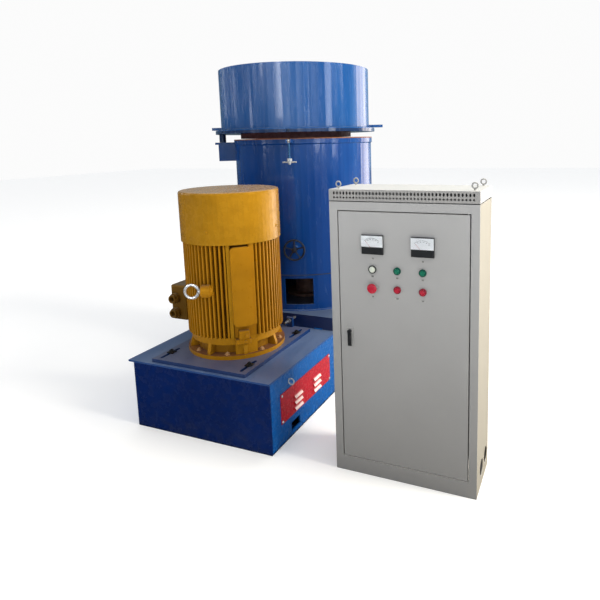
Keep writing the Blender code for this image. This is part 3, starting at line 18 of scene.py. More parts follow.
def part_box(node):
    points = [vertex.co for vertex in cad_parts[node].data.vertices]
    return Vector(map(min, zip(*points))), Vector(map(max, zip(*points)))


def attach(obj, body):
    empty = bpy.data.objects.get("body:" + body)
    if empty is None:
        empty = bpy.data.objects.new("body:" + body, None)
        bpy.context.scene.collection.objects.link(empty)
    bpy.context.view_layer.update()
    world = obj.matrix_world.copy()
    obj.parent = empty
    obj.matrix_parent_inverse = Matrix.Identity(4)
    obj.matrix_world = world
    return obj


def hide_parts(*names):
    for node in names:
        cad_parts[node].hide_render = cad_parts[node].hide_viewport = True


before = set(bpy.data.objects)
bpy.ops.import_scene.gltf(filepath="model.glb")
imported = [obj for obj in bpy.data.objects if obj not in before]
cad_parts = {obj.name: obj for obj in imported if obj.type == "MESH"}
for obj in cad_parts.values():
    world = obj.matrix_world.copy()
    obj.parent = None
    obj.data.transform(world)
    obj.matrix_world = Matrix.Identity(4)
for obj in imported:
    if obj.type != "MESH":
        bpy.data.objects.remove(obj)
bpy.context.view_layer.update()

# %% [markdown]
# The camera comes first. The photograph was taken from head height, a little to the
# right of the machine, with a lens slightly shorter than normal. Its place and its axes
# were solved from the straight edges of the base and the cabinet.

# %% Camera
CAMERA_PLACE = (2.1895, -4.0999, 1.8643)
CAMERA_FORWARD = Vector((-0.3862, 0.9096, -0.1529)).normalized()
CAMERA_UP = Vector((-0.0385, 0.1497, 0.9879))
SENSOR_WIDTH = 36.0
FOCAL_LENGTH = 32.16
LENS_SHIFT = (-0.0901, -0.1269)
scene = bpy.context.scene
camera = bpy.data.objects.new("camera", bpy.data.cameras.new("camera"))
scene.collection.objects.link(camera)
scene.camera = camera
camera.data.sensor_width = SENSOR_WIDTH
camera.data.lens = FOCAL_LENGTH
camera.data.shift_x, camera.data.shift_y = LENS_SHIFT
camera_right = CAMERA_FORWARD.cross(CAMERA_UP).normalized()
camera_up = camera_right.cross(CAMERA_FORWARD)
turn = Matrix((camera_right, camera_up, -CAMERA_FORWARD)).transposed().to_4x4()
camera.matrix_world = Matrix.Translation(CAMERA_PLACE) @ turn
print("camera height", CAMERA_PLACE[2], "m")

# %% [markdown]
# ## Finishes
#
# Finishes and sky are trees of nodes. A few helpers add a node, link it, carry a value
# from one range to another, multiply two values, and tell two kinds of ray apart.

# %% Helpers for nodes
RANGE_INPUTS = ("From Min", "From Max", "To Min", "To Max")
SHADER_INPUTS = ("Base Color", "Roughness", "Metallic", "Coat Weight", "Coat Roughness", "Specular IOR Level")


class Wiring:
    """Short ways to add nodes to a node tree."""

    def __init__(self, tree):
        self.tree = tree

    def add(self, kind, values=None, **settings):
        """A new node with these settings and these values on its inputs."""
        node = self.tree.nodes.new("ShaderNode" + kind)
        for name, value in settings.items():
            setattr(node, name, value)
        for name, value in (values or {}).items():
            node.inputs[name].default_value = value
        return node

    def link(self, source, node, name):
        """An output is linked to an input, and a number is set there."""
        if isinstance(source, float):
            node.inputs[name].default_value = source
        else:
            self.tree.links.new(source, node.inputs[name])

    def ramp(self, value, low, high, to_low=0.0, to_high=1.0):
        """The value carried from one range to another, and held at its ends."""
        node = self.add("MapRange", dict(zip(RANGE_INPUTS, (low, high, to_low, to_high))))
        self.link(value, node, "Value")
        return node.outputs["Result"]

    def arithmetic(self, operation, first, second):
        """One arithmetic step between two values, each an output or a number."""
        node = self.add("Math", operation=operation)
        self.link(first, node, 0)
        self.link(second, node, 1)
        return node.outputs["Value"]

    def product(self, first, second):
        return self.arithmetic("MULTIPLY", first, second)

    def chosen(self, ray, for_ray, for_others):
        """One shader for that kind of ray and another for all other rays."""
        node = self.add("MixShader")
        for slot, output in enumerate((self.add("LightPath").outputs[ray], for_others, for_ray)):
            self.link(output, node, slot)
        return node.outputs[0]


print("node helpers ready")

# %% [markdown]
# Every finish is one Principled shader with a few nodes in front of it: a noise pattern,
# a tint by some share, and a bump. All patterns read Object coordinates, which here are
# metres in the machine's own frame, so a pattern can also follow a real place, such as
# the height of a dusty edge.

# %% Helpers for finishes
class Finish(Wiring):
    """A material with its shader, and short ways to add patterns to it."""

    def __init__(self, name, colour, roughness, metallic=0.0, coat=0.0, coat_roughness=0.1,
                 specular=0.5):
        self.material = bpy.data.materials.new(name)
        self.material.use_nodes = True
        super().__init__(self.material.node_tree)
        self.shader = self.tree.nodes["Principled BSDF"]
        self.place = self.add("TexCoord")
        values = (*colour, 1.0), roughness, metallic, coat, coat_roughness, specular
        for socket, value in zip(SHADER_INPUTS, values):
            self.shader.inputs[socket].default_value = value
        self.colour = None

    def noise(self, scale, stretch=(1.0, 1.0, 1.0), detail=4.0, offset=(0.0, 0.0, 0.0)):
        """A noise pattern of that many lumps a metre, stretched by axis."""
        mapping = self.add("Mapping", {"Scale": stretch, "Location": offset})
        self.link(self.place.outputs["Object"], mapping, "Vector")
        pattern = self.add("TexNoise", {"Scale": scale, "Detail": detail})
        self.link(mapping.outputs["Vector"], pattern, "Vector")
        return pattern.outputs["Fac"]

    def axis(self, letter, source="Object"):
        """One coordinate of the place, or of the face's direction when the source is Normal."""
        node = self.add("SeparateXYZ")
        self.link(self.place.outputs[source], node, "Vector")
        return node.outputs[letter]

    def distance(self, keep, shift):
        """The length of place * keep + shift: how far the place is from an axis."""
        offset = self.add("VectorMath", {1: keep, 2: shift}, operation="MULTIPLY_ADD")
        self.link(self.place.outputs["Object"], offset, 0)
        length = self.add("VectorMath", operation="LENGTH")
        self.link(offset.outputs["Vector"], length, 0)
        return length.outputs["Value"]

    def tint(self, share, colour):
        """Mixes another colour over what is there, by that share."""
        node = self.add("Mix", {7: (*colour, 1.0)}, data_type="RGBA")
        if self.colour is None:
            node.inputs[6].default_value = self.shader.inputs["Base Color"].default_value
        else:
            self.link(self.colour, node, 6)
        self.link(share, node, 0)
        self.colour = node.outputs[2]
        self.link(self.colour, self.shader, "Base Color")

    def rough(self, pattern, *figures):
        """Roughness follows a pattern, carried to another range as a ramp does."""
        self.link(self.ramp(pattern, *figures), self.shader, "Roughness")

    def bump(self, height, distance, strength=1.0):
        """Raises the surface by the height pattern, that many metres at most."""
        node = self.add("Bump", {"Distance": distance, "Strength": strength})
        self.link(height, node, "Height")
        before = self.shader.inputs["Normal"]
        if before.is_linked:
            self.link(before.links[0].from_socket, node, "Normal")
        self.link(node.outputs["Normal"], self.shader, "Normal")


def upward(finish, start=0.55, end=0.9):
    """How much a face looks up: 0 on a wall and 1 on a level top."""
    return finish.ramp(finish.axis("Z", "Normal"), start, end)


def show(finish):
    """The finished material, whose plain colour also shows in a solid view."""
    finish.material.diffuse_color = finish.shader.inputs["Base Color"].default_value
    return finish.material


print("finish helpers ready")

# %% [markdown]
# The tank and hopper are rolled plate under brushed-on gloss enamel. Rolling leaves
# shallow upright waves, which is why a window shows on them as a row of long streaks.
# A noise stretched along Z makes the same waves in the bump, and a second, finer one is
# the brush's drag. Paler upright streaks are painted into the colour too: a painted
# sheen like the windows' streaks. Level faces take grey dust and a painted sheen of the
# sky. The rim under the hopper's flange is navy.

# %% Rolled and brushed blue enamel
UPRIGHT = (1.0, 1.0, 0.05)
BLUE_DUST_AND_SHEEN = (0.115, 0.15, 0.21)
RIM_NAVY = (0.001, 0.014, 0.066)
FLANGE_RIM = 1.9645


def blue_enamel(name, colour, deep, pale, ripple, rim=None):
    """Gloss blue with upright waves, paler streaks of painted sheen, and level faces that are dusty and carry
    a painted sheen.

    Below the rim's height, if there is one, it stays navy.
    """
    made = Finish(name, colour, 0.22, coat=0.25, coat_roughness=0.06, specular=0.35)
    # painted sheen: paler upright streaks in the colour, like the windows' streaks
    streaks = made.noise(9.0, UPRIGHT, 3.0)
    made.tint(made.ramp(streaks, 0.52, 0.75, 0.0, 0.45), pale)
    made.tint(made.ramp(made.noise(3.0, UPRIGHT, 2.0, (3.0, 1.0, 0.0)), 0.5, 0.8, 0.0, 0.7), deep)
    # grey dust and a painted sheen of the sky on level faces
    dust_and_sheen = made.product(upward(made), made.ramp(made.noise(14.0), 0.3, 0.7, 0.45, 0.85))
    made.tint(dust_and_sheen, BLUE_DUST_AND_SHEEN)
    if rim is not None:
        made.tint(made.ramp(made.axis("Z"), rim, rim - 0.003), RIM_NAVY)
    made.rough(made.noise(30.0, (1.0, 1.0, 0.15)), 0.35, 0.75, 0.14, 0.34)
    made.bump(made.noise(7.0, UPRIGHT, 2.0), ripple)
    made.bump(made.noise(260.0, (1.0, 1.0, 0.35), 2.0), 0.0004, 0.35)
    return show(made)


tank_blue = blue_enamel("tank_blue_enamel", (0.0004, 0.036, 0.185), (0.0004, 0.024, 0.135),
                        (0.003, 0.068, 0.255), 0.01)
hopper_blue = blue_enamel("hopper_blue_enamel", (0.002, 0.056, 0.215), (0.002, 0.038, 0.165),
                          (0.045, 0.12, 0.3), 0.012, FLANGE_RIM)
print(tank_blue.name, hopper_blue.name)

# %% [markdown]
# The base is the same enamel on flat plate, so it has no upright waves. Its side walls
# are a lighter blue than its front wall, which is painted nearly navy: painted shade on
# the same paint. Level tops are walked on and gather grey dust, in smears that run front
# to back, and the grey is also a painted sheen of the sky. The ring bolts are part of
# the side walls in the solid model, but on the real base they are bright zinc: their
# finish is picked by how far they stand out from the wall.

# %% Flat enamel on the base, with bright ring bolts
BASE_FACE_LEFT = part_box("base_front_wall")[0].x
BASE_FACE_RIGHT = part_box("base_front_wall")[1].x
GRIME = (0.03, 0.034, 0.042)
BRIGHT_ZINC = (0.62, 0.63, 0.64)


def base_enamel(name, colour, deep, rings=False):
    """Blue enamel on flat plate, darker and dirtier towards the floor."""
    made = Finish(name, colour, 0.25, specular=0.3)
    height = made.axis("Z")
    made.tint(made.ramp(made.noise(2.2, detail=3.0), 0.4, 0.75, 0.0, 0.6), deep)
    grime = made.product(made.ramp(height, 0.16, 0.0), made.ramp(made.noise(18.0), 0.4, 0.7))
    made.tint(made.product(grime, 0.35), GRIME)
    made.rough(made.noise(24.0), 0.3, 0.75, 0.16, 0.38)
    made.bump(made.noise(3.5, detail=2.0), 0.006)
    made.bump(made.noise(240.0, detail=2.0), 0.0003, 0.4)
    if rings:
        outside = made.axis("X")
        right = made.ramp(outside, BASE_FACE_RIGHT + 0.0012, BASE_FACE_RIGHT + 0.0018)
        left = made.ramp(outside, BASE_FACE_LEFT - 0.0012, BASE_FACE_LEFT - 0.0018)
        bright = made.arithmetic("MAXIMUM", right, left)
        made.tint(bright, BRIGHT_ZINC)
        made.link(made.ramp(bright, 0.0, 1.0, 0.0, 0.45), made.shader, "Metallic")
    return show(made)


side_blue = base_enamel("base_side_enamel", (0.001, 0.082, 0.31), (0.001, 0.058, 0.24), rings=True)
# painted shade: the front wall is the side walls' blue, made darker
front_blue_shaded = base_enamel("base_front_shaded_enamel", (0.0006, 0.012, 0.086), (0.0005, 0.008, 0.06))
navy_blue = base_enamel("navy_enamel", (0.0008, 0.01, 0.06), (0.0006, 0.006, 0.042))


def trodden_enamel(name, colour, dust_and_sheen, deep):
    """A level top that is dusty and carries a painted sheen, with smears that run front to back, and clean
    blue edges.
    """
    made = Finish(name, colour, 0.32, coat=0.15, coat_roughness=0.2)
    level = upward(made)
    smears = made.noise(7.0, (1.0, 0.22, 1.0), 5.0)
    # grey dust and a painted sheen of the sky on level tops
    made.tint(made.product(level, made.ramp(smears, 0.3, 0.72, 0.55, 0.97)), dust_and_sheen)
    spots = made.ramp(made.noise(46.0, detail=6.0), 0.6, 0.72)
    made.tint(made.product(level, made.product(spots, 0.5)), deep)
    made.rough(smears, 0.3, 0.7, 0.34, 0.58)
    made.bump(made.noise(90.0, detail=4.0), 0.0008, 0.5)
    return show(made)


top_blue = trodden_enamel("base_top_enamel", (0.002, 0.044, 0.185), (0.118, 0.172, 0.3),
                          (0.06, 0.082, 0.145))
slide_blue = trodden_enamel("slide_plate_enamel", (0.002, 0.026, 0.12), (0.11, 0.12, 0.19),
                            (0.05, 0.054, 0.082))
stand_blue = trodden_enamel("stand_enamel", (0.0006, 0.016, 0.1), (0.098, 0.135, 0.205),
                            (0.05, 0.066, 0.1))
print("base finishes:", side_blue.name, front_blue_shaded.name, top_blue.name)

# %% [markdown]
# The guard is bright red enamel. Each louvre was pressed out of the sheet. Its sloping
# hood is painted near white: a painted highlight of the roof lights, patchy where hands
# and spanners have worn the paint. The hoods are the only faces that stand proud of the
# sheet, so a mask on X finds them.

# %% Red guard
GUARD_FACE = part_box("belt_guard")[0].x + 0.004
guard = Finish("guard_red_enamel", (0.41, 0.006, 0.012), 0.24, coat=0.15, coat_roughness=0.06,
               specular=0.3)
guard.tint(guard.ramp(guard.noise(8.0), 0.35, 0.75, 0.0, 0.5), (0.31, 0.004, 0.01))
proud = guard.ramp(guard.axis("X"), GUARD_FACE + 0.0015, GUARD_FACE + 0.006)
sky = guard.ramp(guard.axis("Z", "Normal"), 0.15, 0.45)
highlight_and_wear = guard.ramp(guard.noise(60.0), 0.22, 0.5, 0.35, 1.0)
# painted highlight on the upward hoods, in patches like worn paint
hood_highlight = guard.product(guard.product(proud, sky), highlight_and_wear)
guard.tint(hood_highlight, (0.8, 0.62, 0.58))
guard.rough(guard.noise(35.0), 0.3, 0.7, 0.16, 0.34)
guard.bump(guard.noise(150.0, detail=2.0), 0.0003, 0.5)
guard_red = show(guard)
print(guard_red.name)

# %% [markdown]
# The motor is ochre enamel over cast iron. Sand casting leaves a fine pebbled skin.
# Dust and oil settle where air moves least, at the roots of the fins and in the pockets
# of the foot, and there the colour is darker and browner: that grime, and painted shade.
# The distance from the motor's own axis tells root from tip, so it drives this grime and
# painted shade. The cowl is sheet steel, smoother. Level faces take a dull film colour:
# dust, and on the cowl's top also a painted sheen of the sky. Light that glances off
# this thick enamel comes back yellow, so its highlights are tinted.

# %% Ochre enamel on the motor
MOTOR_Y = (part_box("motor_fan_cowl")[0].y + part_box("motor_fan_cowl")[1].y) / 2
HIGHLIGHT = (1.0, 0.55, 0.08, 1.0)
PEBBLE_HEIGHT = 0.0000015
NO_ROOTS = (0.1, 0.2)


def motor_enamel(name, colour, root_shade_and_grime, roots, pebble, film_and_sheen, shine):
    """Ochre enamel: painted shade, with grime, darker and browner between two radii; level faces dusty, with
    a painted sheen.

    The pebbles are that many a metre, and coarse ones are shallow.
    """
    made = Finish(name, colour, shine, specular=0.5)
    made.shader.inputs["Specular Tint"].default_value = HIGHLIGHT
    from_axis = made.distance((1.0, 1.0, 0.0), (0.0, -MOTOR_Y, 0.0))
    # painted shade, with grime, between two radii: the fin roots and foot pockets
    inside = made.ramp(from_axis, roots[1], roots[0])
    made.tint(made.ramp(made.noise(11.0), 0.4, 0.72, 0.0, 0.45), tuple(part * 0.72 for part in colour))
    shade_and_grime_patches = made.ramp(made.noise(20.0), 0.2, 0.6, 0.65, 1.0)
    made.tint(made.product(inside, shade_and_grime_patches), root_shade_and_grime)
    # dust, and on the cowl's top a painted sheen of the sky, on level faces
    film_and_sheen_patches = made.ramp(made.noise(9.0), 0.25, 0.65, 0.6, 0.95)
    made.tint(made.product(upward(made, 0.75, 0.97), film_and_sheen_patches), film_and_sheen)
    made.rough(made.noise(28.0), 0.3, 0.75, shine - 0.08, shine + 0.16)
    made.bump(made.noise(pebble, detail=3.0), PEBBLE_HEIGHT * pebble, 0.6)
    return show(made)


frame_yellow = motor_enamel("motor_frame_enamel", (0.365, 0.158, 0.006), (0.09, 0.027, 0.002),
                            (0.288, 0.312), 420.0, (0.2, 0.11, 0.045), 0.34)
foot_yellow = motor_enamel("motor_foot_enamel", (0.38, 0.17, 0.007), (0.24, 0.105, 0.008),
                           (0.262, 0.3), 380.0, (0.15, 0.062, 0.04), 0.36)
bolt_yellow = motor_enamel("foot_bolt_enamel", (0.42, 0.24, 0.11), (0.42, 0.24, 0.11),
                           NO_ROOTS, 300.0, (0.48, 0.31, 0.19), 0.36)
cowl_yellow = motor_enamel("motor_cowl_enamel", (0.335, 0.16, 0.008), (0.335, 0.16, 0.008),
                           NO_ROOTS, 120.0, (0.4, 0.27, 0.15), 0.24)
box_yellow = motor_enamel("terminal_box_enamel", (0.12, 0.057, 0.008), (0.07, 0.03, 0.006),
                          NO_ROOTS, 300.0, (0.23, 0.16, 0.08), 0.4)
print("motor finishes centred on y =", round(MOTOR_Y, 3))

# %% [markdown]
# Small hardware is zinc plate, which is bright but slightly mottled. The rotor inside is
# worn bright by scrap, with scratches drawn out along X. The neck under the hopper never
# got its top coat: it is dull red primer. The clamp bolts hang beside the blue hopper, and
# the middle of their shank, between two heights, is painted blue: a painted reflection of
# the hopper.

# %% Bare metals, primer and rubber
SHANK_FOOT = (1.7475, 1.7485)
SHANK_HEAD = (1.862, 1.86)


def plated(name, colour, roughness, metallic, grain, stretch=(1.0, 1.0, 1.0), dark=0.6):
    """A metal whose colour and roughness follow one mottled pattern."""
    made = Finish(name, colour, roughness, metallic)
    mottle = made.noise(grain, stretch, 5.0)
    made.tint(made.ramp(mottle, 0.45, 0.72, 0.0, 0.7), tuple(part * dark for part in colour))
    made.rough(mottle, 0.3, 0.75, roughness * 0.7, roughness * 1.5)
    made.bump(made.noise(grain * 4.0, stretch, 3.0), 0.0003, 0.4)
    return show(made)


zinc = plated("zinc_plate", (0.72, 0.725, 0.73), 0.22, 0.55, 90.0)
clamp = Finish("clamp_bolt_plate", (0.48, 0.48, 0.485), 0.2, 0.35)
# painted reflection of the blue hopper along the middle of the shank
shank_reflection = clamp.product(clamp.ramp(clamp.axis("Z"), *SHANK_FOOT), clamp.ramp(clamp.axis("Z"), *SHANK_HEAD))
clamp.tint(shank_reflection, (0.02, 0.085, 0.2))
clamp.rough(clamp.noise(90.0), 0.3, 0.75, 0.16, 0.34)
clamp.bump(clamp.noise(360.0), 0.0003, 0.4)
clamp_plate = show(clamp)
bolt_black = plated("blackened_bolt", (0.03, 0.028, 0.027), 0.42, 0.7, 120.0)
rusty_iron = plated("rusty_iron", (0.26, 0.15, 0.115), 0.7, 0.1, 26.0, dark=0.5)
screw_steel = plated("oily_steel", (0.15, 0.155, 0.175), 0.3, 0.5, 60.0)
dark_iron = plated("greasy_iron", (0.05, 0.05, 0.055), 0.5, 0.6, 30.0)
worn_steel = plated("worn_steel", (0.33, 0.325, 0.32), 0.34, 1.0, 40.0, (1.0, 4.0, 1.0))
wheel_black = plated("handwheel_iron", (0.018, 0.02, 0.03), 0.32, 0.3, 60.0)
galvanised = plated("galvanised_sheet", (0.5, 0.515, 0.53), 0.38, 0.9, 22.0, dark=0.8)
primer = plated("red_oxide_primer", (0.12, 0.024, 0.024), 0.62, 0.0, 35.0)
rubber = plated("rim_rubber", (0.23, 0.085, 0.03), 0.75, 0.0, 70.0)
print("metals ready:", zinc.name, clamp_plate.name, rusty_iron.name, worn_steel.name)

# %% [markdown]
# The cabinet is light grey textured enamel: a fine, even orange peel. Its level tops are
# painted lighter, as painted light, and towards the floor it grows darker and warmer, as
# painted shade, with a few scuffs. Its sides have no shine, and the lower edge of its roof
# is painted black: a painted shadow of the gap under the roof's cap.

# %% Cabinet enamel
CLOUDS = 0.12
TOP_LIGHT_COLOUR = (0.72, 0.71, 0.68)
ROOF_SEAM_SHADOW = (0.03, 0.029, 0.027)
SCUFF = (0.2, 0.19, 0.165)
ROOF_SEAM = 1.5515


def cabinet_enamel(name, colour, low_colour, seam=None, coat=0.08, specular=0.5):
    """Textured light enamel: painted shade darker near the floor, and painted light on top.

    Below the seam's height, if there is one, the edge is black: a painted shadow.
    """
    made = Finish(name, colour, 0.42, coat=coat, coat_roughness=0.3, specular=specular)
    # painted shade: darker and warmer towards the floor
    made.tint(made.ramp(made.axis("Z"), 1.45, 0.05, 0.0, 0.85), low_colour)
    made.tint(made.ramp(made.noise(3.0, detail=5.0), 0.45, 0.8, 0.0, CLOUDS), low_colour)
    # painted light: level tops made lighter
    made.tint(upward(made), TOP_LIGHT_COLOUR)
    if seam is not None:
        # painted shadow: the roof's edge below the seam is black
        made.tint(made.ramp(made.axis("Z"), seam + 0.0004, seam - 0.0004), ROOF_SEAM_SHADOW)
    near_floor = made.ramp(made.axis("Z"), 0.3, 0.02)
    scuffs = made.product(made.ramp(made.noise(26.0, detail=6.0), 0.66, 0.74), near_floor)
    made.tint(made.product(scuffs, 0.45), SCUFF)
    made.rough(made.noise(18.0), 0.3, 0.7, 0.36, 0.52)
    made.bump(made.noise(520.0, detail=2.0), 0.0004, 0.45)
    return show(made)


front_grey = cabinet_enamel("cabinet_front_enamel", (0.38, 0.381, 0.382), (0.155, 0.15, 0.143))
side_grey = cabinet_enamel("cabinet_side_enamel", (0.35, 0.33, 0.29), (0.23, 0.212, 0.178),
                           coat=0.0, specular=0.0)
roof_grey = cabinet_enamel("cabinet_roof_enamel", (0.31, 0.305, 0.298), (0.25, 0.245, 0.235), ROOF_SEAM)
print(front_grey.name, side_grey.name, roof_grey.name)

# %% [markdown]
# Plastics on the door: black meter cases, coloured caps with a soft gloss, and white
# dials under clear windows. The lamp's lens is milky inside a dark ring, which is picked
# by the distance from the lamp's axis.

# %% Plastics and glass
GRAIN = 200.0
LAMP_X, LAMP_Z = 1.197, 1.193
LENS_EDGE = (0.0162, 0.0166)


def plastic(name, colour, roughness, lighter):
    """Moulded plastic with a faint grain and slight wear."""
    made = Finish(name, colour, roughness, coat=0.2, coat_roughness=0.15)
    made.tint(made.ramp(made.noise(GRAIN / 4.0), 0.5, 0.75, 0.0, 0.35), lighter)
    made.rough(made.noise(GRAIN / 3.0), 0.3, 0.7, roughness * 0.8, roughness * 1.3)
    made.bump(made.noise(GRAIN * 3.0, detail=1.0), 0.0001, 0.3)
    return show(made)


black_plastic = plastic("black_plastic", (0.012, 0.012, 0.013), 0.36, (0.03, 0.03, 0.03))
green_cap = plastic("green_cap", (0.003, 0.15, 0.085), 0.24, (0.012, 0.22, 0.13))
green_ring = plastic("green_ring", (0.002, 0.075, 0.052), 0.24, (0.008, 0.12, 0.08))
red_cap = plastic("red_cap", (0.4, 0.01, 0.03), 0.24, (0.52, 0.03, 0.05))
red_ring = plastic("red_ring", (0.24, 0.008, 0.026), 0.24, (0.32, 0.02, 0.04))
lens = Finish("lamp_lens", (0.6, 0.64, 0.56), 0.18, coat=0.2)
to_edge = lens.ramp(lens.distance((1.0, 0.0, 1.0), (-LAMP_X, 0.0, -LAMP_Z)), *LENS_EDGE)
lens.tint(to_edge, (0.09, 0.1, 0.09))
lens.rough(lens.noise(70.0), 0.3, 0.7, 0.14, 0.26)
lamp_white = show(lens)
dial_white = plastic("dial_card", (0.78, 0.79, 0.8), 0.5, (0.7, 0.71, 0.72))
dial_ink = plastic("dial_ink", (0.02, 0.02, 0.022), 0.55, (0.035, 0.035, 0.035))
dial_red = plastic("needle_red", (0.42, 0.02, 0.015), 0.45, (0.3, 0.03, 0.02))
blank_plate = plastic("blank_plate", (0.37, 0.37, 0.36), 0.3, (0.33, 0.33, 0.32))
window = Finish("meter_window", (0.95, 0.97, 0.98), 0.04)
for socket, value in (("Transmission Weight", 1.0), ("IOR", 1.15), ("Alpha", 0.25)):
    window.shader.inputs[socket].default_value = value
window.rough(window.noise(40.0), 0.3, 0.7, 0.02, 0.07)
meter_window = show(window)
print("plastics ready")

# %% [markdown]
# Now each solid takes its finish. A solid keeps its mesh: only the material in its slot
# changes.

# %% Give every solid its finish
PAINTING = (
    (navy_blue, "base_floor_plate"), (front_blue_shaded, "base_front_wall"), (top_blue, "base_top_plate"),
    (side_blue, "base_rear_wall base_left_wall base_right_wall"), (guard_red, "belt_guard"),
    (slide_blue, "motor_slide_plate"), (screw_steel, "tension_screw_left tension_screw_right"),
    (foot_yellow, "motor_flange"), (frame_yellow, "motor_frame"), (cowl_yellow, "motor_fan_cowl"),
    (box_yellow, "motor_terminal_box"), (zinc, "motor_lifting_eye"), (stand_blue, "tank_stand"),
    (tank_blue, "tank_skirt tank_shell hinge_bracket"), (dark_iron, "tank_floor"), (rubber, "tank_gasket"),
    (rusty_iron, "spindle_housing"), (worn_steel, "rotor"), (wheel_black, "handwheel"),
    (hopper_blue, "hopper_ring"), (primer, "hopper_neck"), (clamp_plate, "clamp_bolt_front clamp_bolt_rear"),
    (front_grey, "cabinet_front_frame cabinet_door"), (roof_grey, "cabinet_roof"),
    (side_grey, "cabinet_left_side cabinet_right_side cabinet_back cabinet_floor"),
    (galvanised, "mounting_plate"), (black_plastic, "panel_meter_left panel_meter_right door_handle"),
    (lamp_white, "indicator_lamp"), (green_cap, "start_button_left start_button_right"),
    (red_cap, "stop_button_left stop_button_right emergency_stop"),
)
painted = set()
for material, names in PAINTING:
    for name in names.split():
        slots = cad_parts[name].data.materials
        slots.clear()
        slots.append(material)
        painted.add(name)
print(len(painted), "solids painted;", sorted(set(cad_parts) - painted), "left")

# %% [markdown]
# ## Making new pieces
#
# A new piece is a grid of points worked out as arrays, and a list of faces. Four
# builders cover nearly everything: a turned shape, a turned ring, a plate with cut-back
# edges and a plate bent round an axis. Each returns points and faces.

# %% Builders
GAP = 0.0002
SHARP_ANGLE = math.radians(35.0)


def grid_faces(rows, columns, wrap_rows=False):
    """Quads of a grid whose point (i, j) is number i * columns + j; its columns wrap round."""
    i, j = np.meshgrid(np.arange(rows if wrap_rows else rows - 1), np.arange(columns), indexing="ij")
    i, j = i.ravel(), j.ravel()
    down, right = (i + 1) % rows, (j + 1) % columns
    return np.stack([i * columns + j, i * columns + right, down * columns + right, down * columns + j], 1)


def capped_faces(rows, columns):
    """The same quads with a cap on the first row and on the last."""
    last = (rows - 1) * columns
    caps = [list(range(columns - 1, -1, -1)), list(range(last, last + columns))]
    return grid_faces(rows, columns).tolist() + caps


def polar(r, angle, z):
    """Points (r cos a, r sin a, z)."""
    return np.stack(np.broadcast_arrays(r * np.cos(angle), r * np.sin(angle), z), -1)


def turned_points(profile, steps):
    """A circle of points for each (r, z) of the profile."""
    profile = np.array(profile, float)
    u = np.linspace(0.0, 2.0 * np.pi, steps, endpoint=False)
    return polar(np.maximum(profile[:, :1], 1e-5), u, profile[:, 1:]).reshape(-1, 3)


def turned_shape(profile, steps):
    """A turned solid. The profile's ends are brought to a hair's breadth of the axis."""
    return turned_points(profile, steps), capped_faces(len(profile), steps)


def turned_ring(profile, steps):
    """The same, for a closed profile that doesn't meet the axis, such as a weld's."""
    return turned_points(profile, steps), grid_faces(len(profile), steps, wrap_rows=True).tolist()


def plate(width, height, thickness, edge=0.0):
    """A flat plate from z = 0 up, whose front edges are cut back by a 45 degree chamfer."""
    outline = np.array([(-1, -1), (1, -1), (1, 1), (-1, 1)], float)
    size = np.array([width, height]) / 2.0
    levels = [(0.0, 0.0), (0.0, thickness - edge)] + ([(edge, thickness)] if edge else [])
    points = [np.column_stack([outline * (size - inset), np.full(4, z)]) for inset, z in levels]
    return np.concatenate(points), capped_faces(len(levels), 4)


def curved_plate(inner, outer, first, last, low, high, steps):
    """A plate between two radii and two angles in degrees: points (r cos a, r sin a, z)."""
    angles = np.radians(np.linspace(first, last, steps))[:, None]
    points = polar(np.array((inner, outer, outer, inner)), angles, np.array((low, low, high, high)))
    return points.reshape(-1, 3), [face[::-1] for face in capped_faces(steps, 4)]


print("a turned ring of 180 steps:", len(turned_ring([(1.0, 0.0), (1.1, 0.0), (1.0, 0.1)], 180)[1]), "faces")

# %% [markdown]
# Shapes can be moved, and copies stacked into one, before a shape becomes a piece: an
# object that rides on one body of the machine and takes one finish.

# %% From shapes to pieces
def moved(shape, matrix):
    """The same shape in another place."""
    points, faces = shape
    matrix = np.array(matrix, float)
    return points @ matrix[:3, :3].T + matrix[:3, 3], faces


def stacked(shapes):
    """Several shapes as one."""
    points, faces, start = [], [], 0
    for shape_points, shape_faces in shapes:
        points.append(shape_points)
        faces += [[start + k for k in face] for face in shape_faces]
        start += len(shape_points)
    return np.concatenate(points), faces


def fitted(name, shape, material, body):
    """The shape as a finished piece on a body, with flat faces kept flat."""
    points, faces = shape
    mesh = bpy.data.meshes.new(name)
    mesh.from_pydata(points.tolist(), [], faces)
    mesh.update()
    mesh.shade_smooth()
    mesh.set_sharp_from_angle(angle=SHARP_ANGLE)
    mesh.materials.append(material)
    thing = bpy.data.objects.new(name, mesh)
    scene.collection.objects.link(thing)
    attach(thing, body)
    print(f"{name}: {len(faces)} faces")


print("a piece's sharp edges start at", round(math.degrees(SHARP_ANGLE)), "degrees")

# %% [markdown]
# Places are matrices. One faces out from any wall, and two are made from it: one for the
# cabinet's front, and one for a place round the tank or motor. The last lies on a top.
# A piece stands off what carries it by a gap of 0.2 mm, so that no two faces coincide.

# %% Places
def outward(out, origin):
    """Z points out, along a level direction. Y is up, and X runs right as seen from outside."""
    made = np.identity(4)
    made[:3, 0] = (-out[1], out[0], 0.0)
    made[:3, 1] = (0.0, 0.0, 1.0)
    made[:3, 2] = out
    made[:3, 3] = origin
    return made


def on_front(x, y, z):
    return outward((0.0, -1.0, 0.0), (x, y, z))


def on_top(x, y, z):
    """Z points up, and X and Y stay as they are."""
    made = np.identity(4)
    made[:3, 3] = (x, y, z)
    return made


def facing(degrees, radius, centre=(0.0, 0.0), z=0.0):
    """A place on a circle about the centre, facing straight out."""
    out = polar(1.0, math.radians(degrees), 0.0)
    return outward(out, out * radius + (*centre, z))


